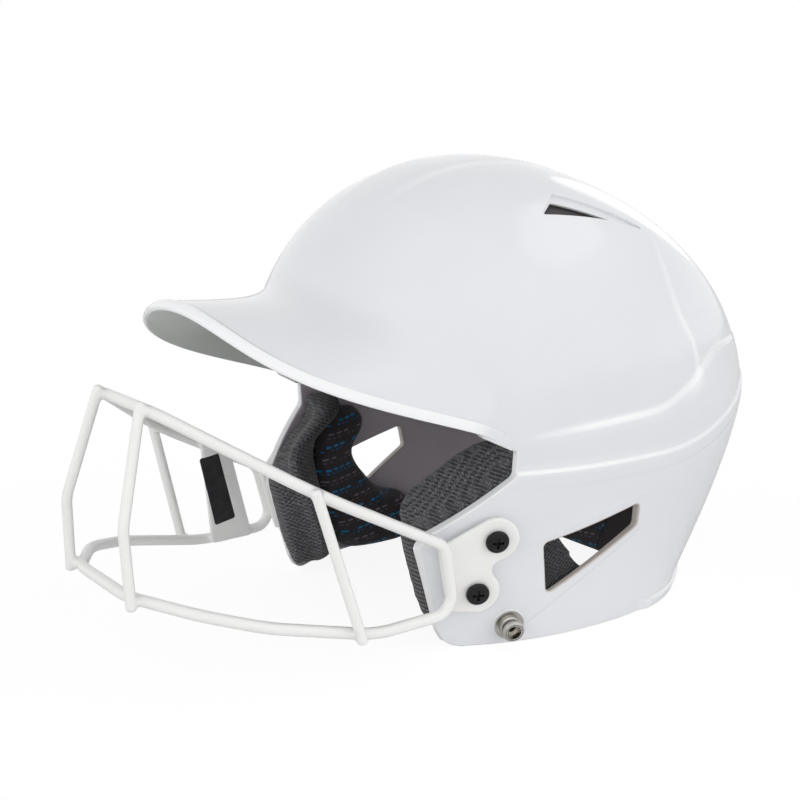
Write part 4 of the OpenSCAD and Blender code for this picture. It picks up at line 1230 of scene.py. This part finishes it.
for flip in (1, MIRROR):
    for path in (center_path, side_path):
        solids.append(tube([p * flip for p in path], UPRIGHT / 2, False))
    for at, foot in ((center_top, top_foot), (center_low, low_foot), (side_top, side_bend[1]),
                     (side_low, side_foot)):
        solids.append(blob(lerp(at, foot, 0.5) * flip, BLOB_R))


def merged(parts):
    pts, faces, k = [], [], 0
    for p, f in parts:
        pts.append(p)
        faces += [tuple(k + i for i in g) for g in f]
        k += len(p)
    return np.concatenate(pts), faces


def weld_exact(pts, faces):
    first, back = same_rows(pts * 500)
    faces = [tuple(int(back[i]) for i in f) for f in faces]
    return pts[first], [f for f in faces if len(set(f)) > 2]


def cad_mesh(name):
    """Points in mm and faces of a CAD node at rest."""
    o = NODE[name]
    return weld_exact(np.array([list(o.matrix_world @ v.co) for v in o.data.vertices]) / MM,
                      [tuple(p.vertices) for p in o.data.polygons])


def dress(obj, mat):
    obj.data.materials.clear()
    obj.data.materials.append(mat)


def remeshed(obj, mat, voxel, smooth):
    """Turns closed solids that overlap into one smooth skin."""
    mod = obj.modifiers.new("voxel", "REMESH")
    mod.mode, mod.voxel_size, mod.use_smooth_shade = "VOXEL", voxel * MM, True
    even = obj.modifiers.new("even", "SMOOTH")
    even.iterations, even.factor = smooth, 0.5
    mesh = bpy.data.meshes.new_from_object(obj.evaluated_get(bpy.context.evaluated_depsgraph_get()))
    old = obj.data
    obj.modifiers.clear()
    obj.data = mesh
    bpy.data.meshes.remove(old)
    dress(obj, mat)


for name in ("guard_plate_left", "guard_plate_right", "guard_label_plate"):
    solids.append(cad_mesh(name))
guard = mesh_object("face_guard", *merged(solids))
remeshed(guard, M_GUARD, 0.6, 5)
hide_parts("guard_hoop", "guard_upright_center_left", "guard_upright_center_right",
            "guard_upright_side_left", "guard_upright_side_right", "guard_plate_left",
            "guard_plate_right", "guard_label_plate")
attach(guard, "helmet")


# Padding: the CAD pads, remeshed and softened
def pad(name, node, mat, voxel=2.0, shift=None):
    pts, faces = cad_mesh(node)
    obj = mesh_object(name, pts + shift(pts) if shift else pts, faces)
    remeshed(obj, mat, voxel, 8)
    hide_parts(node)
    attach(obj, "helmet")
    return obj


def jaw_shift(p):
    """The right foam sits a little lower and further forward, as in the photograph."""
    y, z = p[:, 1], p[:, 2]
    out = np.zeros_like(p)
    out[:, 1] = -3.2 * (1 - ramp(-72, -40, y)) * ramp(6, 30, z) * (1 - ramp(50, 85, z))
    out[:, 2] = -4.5 * (1 - ramp(9, 42, z)) - 9 * ramp(66, 99, z)
    return out * (p[:, :1] < 0)


def ear_shift(p):
    """The ear cushions reach down to the flap's edge."""
    out = np.zeros_like(p)
    low = p[:, 2].min()
    out[:, 2] = -min(4.2, low - 0.8) * (1 - ramp(low, low + 24, p[:, 2]))
    return out


def faced(obj, back, edge):
    """A cushion's outward side in a darker knit that paints the shade inside the ear hole, and its
    rear edge in a fabric of its own.
    """
    mesh = obj.data
    mesh.materials.append(back)
    mesh.materials.append(edge)
    for p in mesh.polygons:
        out = p.normal[0] * (1 if p.center[0] > 0 else -1)
        p.material_index = 1 if out > 0.3 else 2 if p.normal[1] > 0.55 else 0


for side in ("left", "right"):
    pad("jaw_cushion_" + side, "jaw_pad_" + side, M_JAW, shift=jaw_shift)
    faced(pad("ear_cushion_" + side, "ear_pad_" + side, M_LINER, shift=ear_shift),
          M_EAR_BACK_SHADE, M_PLAIN)
    pad("temple_cushion_" + side, "temple_pad_" + side, M_LINER, 3)
pad("forehead_cushion", "forehead_pad", M_LINER_X, 2.5)
pad("crown_cushion", "crown_pad", M_LINER_X, 3)
pad("rear_cushion", "rear_pad", M_LINER_X, 2.5)

# Nape cushion: hangs low at the rear, seated on the wall, with a printed middle panel
NAPE_TOP, NAPE_LOW, NAPE_FACE, NAPE_HALF = 58, 0.8, 84.6, 60
NU, NV = 48, 28
u, v = np.meshgrid(2 * np.arange(NU + 1) / NU - 1, 2 * np.arange(NV + 1) / NV - 1, indexing="ij")
u, v = u.ravel(), v.ravel()
x, z = NAPE_HALF * u, lerp(NAPE_LOW, NAPE_TOP, (v + 1) / 2)
full = (1 - np.abs(u) ** 6) ** 0.5 * (1 - np.abs(v) ** np.where(v < 0, 14, 5)) ** 0.5
w, _, rear, mid = section(z, WALL - 0.4)
wall_y = mid + rear * rise(np.minimum(1, np.abs(x) / w), LEVEL_N)
face_y = NAPE_FACE + 6 * np.abs(u) ** 3
mid_y = lerp(wall_y, face_y, 0.45)
pts = np.concatenate([np.stack([x, lerp(mid_y, y, full), z], -1) for y in (wall_y, face_y)])
faces = []
for i in range(NU):
    for j in range(NV):
        k = i * (NV + 1) + j
        f = (k, k + NV + 1, k + NV + 2, k + 1)
        faces += [f[::-1], tuple(len(u) + n for n in f)]
nape = mesh_object("nape_cushion", *weld_exact(pts, faces))
remeshed(nape, M_NAPE, 2.0, 6)
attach(nape, "helmet")

# Fasteners: the CAD nodes with their finishes
for side in ("left", "right"):
    for name, mat in (("guard_screw_upper_", M_BLACK), ("guard_screw_lower_", M_BLACK),
                      ("guard_nuts_", M_NUT), ("strap_stud_", M_STEEL),
                      ("strap_stud_washer_", M_STEEL), ("strap_stud_nut_", M_NUT)):
        dress(NODE[name + side], mat)

# Blank black label on the label plate
PLATE_FACE, PLATE_OUT = A3([-77.39, -106, 60]), unit(A3([0.9993, 0.0269, -0.0258]))
outline = fillet([[-114.4, 67.4], [-103.2, 68.9], [-93.5, 32.0], [-105.6, 29.7]], [1.2] * 4)


def on_label(y, z, h):
    slope = PLATE_OUT[1] * (y - PLATE_FACE[1]) + PLATE_OUT[2] * (z - PLATE_FACE[2])
    return [PLATE_FACE[0] - slope / PLATE_OUT[0] + h, y, z]


middle = outline.mean(0)
LAYERS = ((0, -0.4), (0, 0.1), (0.06, 0.22), (0.3, 0.26))
pts = [on_label(*(p + inward * unit(middle - p)), h) for inward, h in LAYERS for p in outline]
faces = [f[::-1] for f in ring_faces(len(LAYERS), len(outline))]
label = mesh_object("guard_label", pts, faces, materials=(M_LABEL,))
label.data.polygons.foreach_set("use_smooth", np.zeros(len(faces), bool))
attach(label, "helmet")

# Studio
scene = bpy.context.scene
scene.view_settings.view_transform = "Standard"


def aimed(name, data, place, target):
    """Adds a lamp or a camera that looks at target."""
    obj = bpy.data.objects.new(name, data)
    obj.location = place
    obj.rotation_euler = (Vector(target) - obj.location).to_track_quat("-Z", "Y").to_euler()
    scene.collection.objects.link(obj)
    return obj


def lamp(name, place, target, energy, size, size_y):
    data = bpy.data.lights.new(name, "AREA")
    data.energy, data.shape, data.size, data.size_y = energy, "ELLIPSE", size, size_y
    aimed(name, data, place, target).visible_camera = False


lamp("sheen", (0.5, 1.0, 1.6), (0, 0, 0.12), 1.7, 1.5, 0.8)
lamp("back", (-0.95, 1.6, 0.75), (0, 0, 0.15), 0.9, 0.5, 1.0)

# A softly graded surround: wide glows (direction, gain, narrowness) on a pale base. The camera
# and mirrored rays see plain white.
BASE_LEVEL = 0.37
SKY_TINT = (0.996, 0.999, 1.006)
GLOWS = (((0.87, 0.38, -0.3), 1.98, 1.4), ((-0.1, -0.97, 0.15), 1.3, 1.6),
         ((0.0, 0.0, 1.0), -0.2, 1.5))
world = bpy.data.worlds.new("studio")
scene.world = world
world.use_nodes = True
sky = Graph(world.node_tree)
toward = sky.node("TexCoord", out="Generated")
level = BASE_LEVEL
for direction, gain, tight in GLOWS:
    dot = sky.vector("DOT_PRODUCT", toward, Vector(direction).normalized(), "Value")
    level = sky.math("POWER", sky.math("MAXIMUM", dot, 0.0), tight) * gain + level
tone = sky.node("VectorMath", {0: SKY_TINT, "Scale": level}, operation="SCALE")
lit = sky.node("Background", {"Color": tone, "Strength": 1.0})
white = sky.node("Background", {"Color": (1, 1, 1, 1), "Strength": 1.0})
either = 0.0
for kind in ("Camera", "Transmission", "Glossy"):
    either = sky.math("MAXIMUM", sky.node("LightPath", out=f"Is {kind} Ray"), either)
mixer = sky.node("MixShader", {0: either, 1: lit, 2: white})
sky.put(sky.tree.nodes["World Output"].inputs["Surface"], mixer)

# Pale floor that shows white to the camera and keeps the object's shadow
FLOOR_HALF, FLOOR_GAP = 60e3, 0.0005
fm = Nodes("floor_pale", Roughness=0.9)
fm.link(fm.mix(fm.noise(3, 2), (0.86, 0.86, 0.86, 1), (0.88, 0.88, 0.88, 1)), "Base Color")
glow = fm.node("Emission", {"Color": (1, 1, 1, 1), "Strength": 1.06})
seen = fm.node("LightPath", out="Is Camera Ray") * 0.86
matte = Value(fm, fm.shader.outputs[0])
fm.put(fm.tree.nodes["Material Output"].inputs["Surface"],
       fm.node("MixShader", {0: seen, 1: matte, 2: glow}))
square = [(x * FLOOR_HALF, y * FLOOR_HALF, 0) for x, y in ((-1, -1), (1, -1), (1, 1), (-1, 1))]
floor = mesh_object("floor", square, [(0, 1, 2, 3)], materials=(fm.mat,))
floor.location = (0, 0, CAD_BOX[0][2] - FLOOR_GAP)

# The photograph's camera: 1430 pixels of focal length on an 800 pixel picture
cam_data = bpy.data.cameras.new("photo")
cam_data.sensor_width = 36
cam_data.lens = 1430 * 36 / 800
scene.camera = aimed("photo", cam_data, (0.5766, -0.4412, 0.2534), (0, -0.0405, 0.1035))
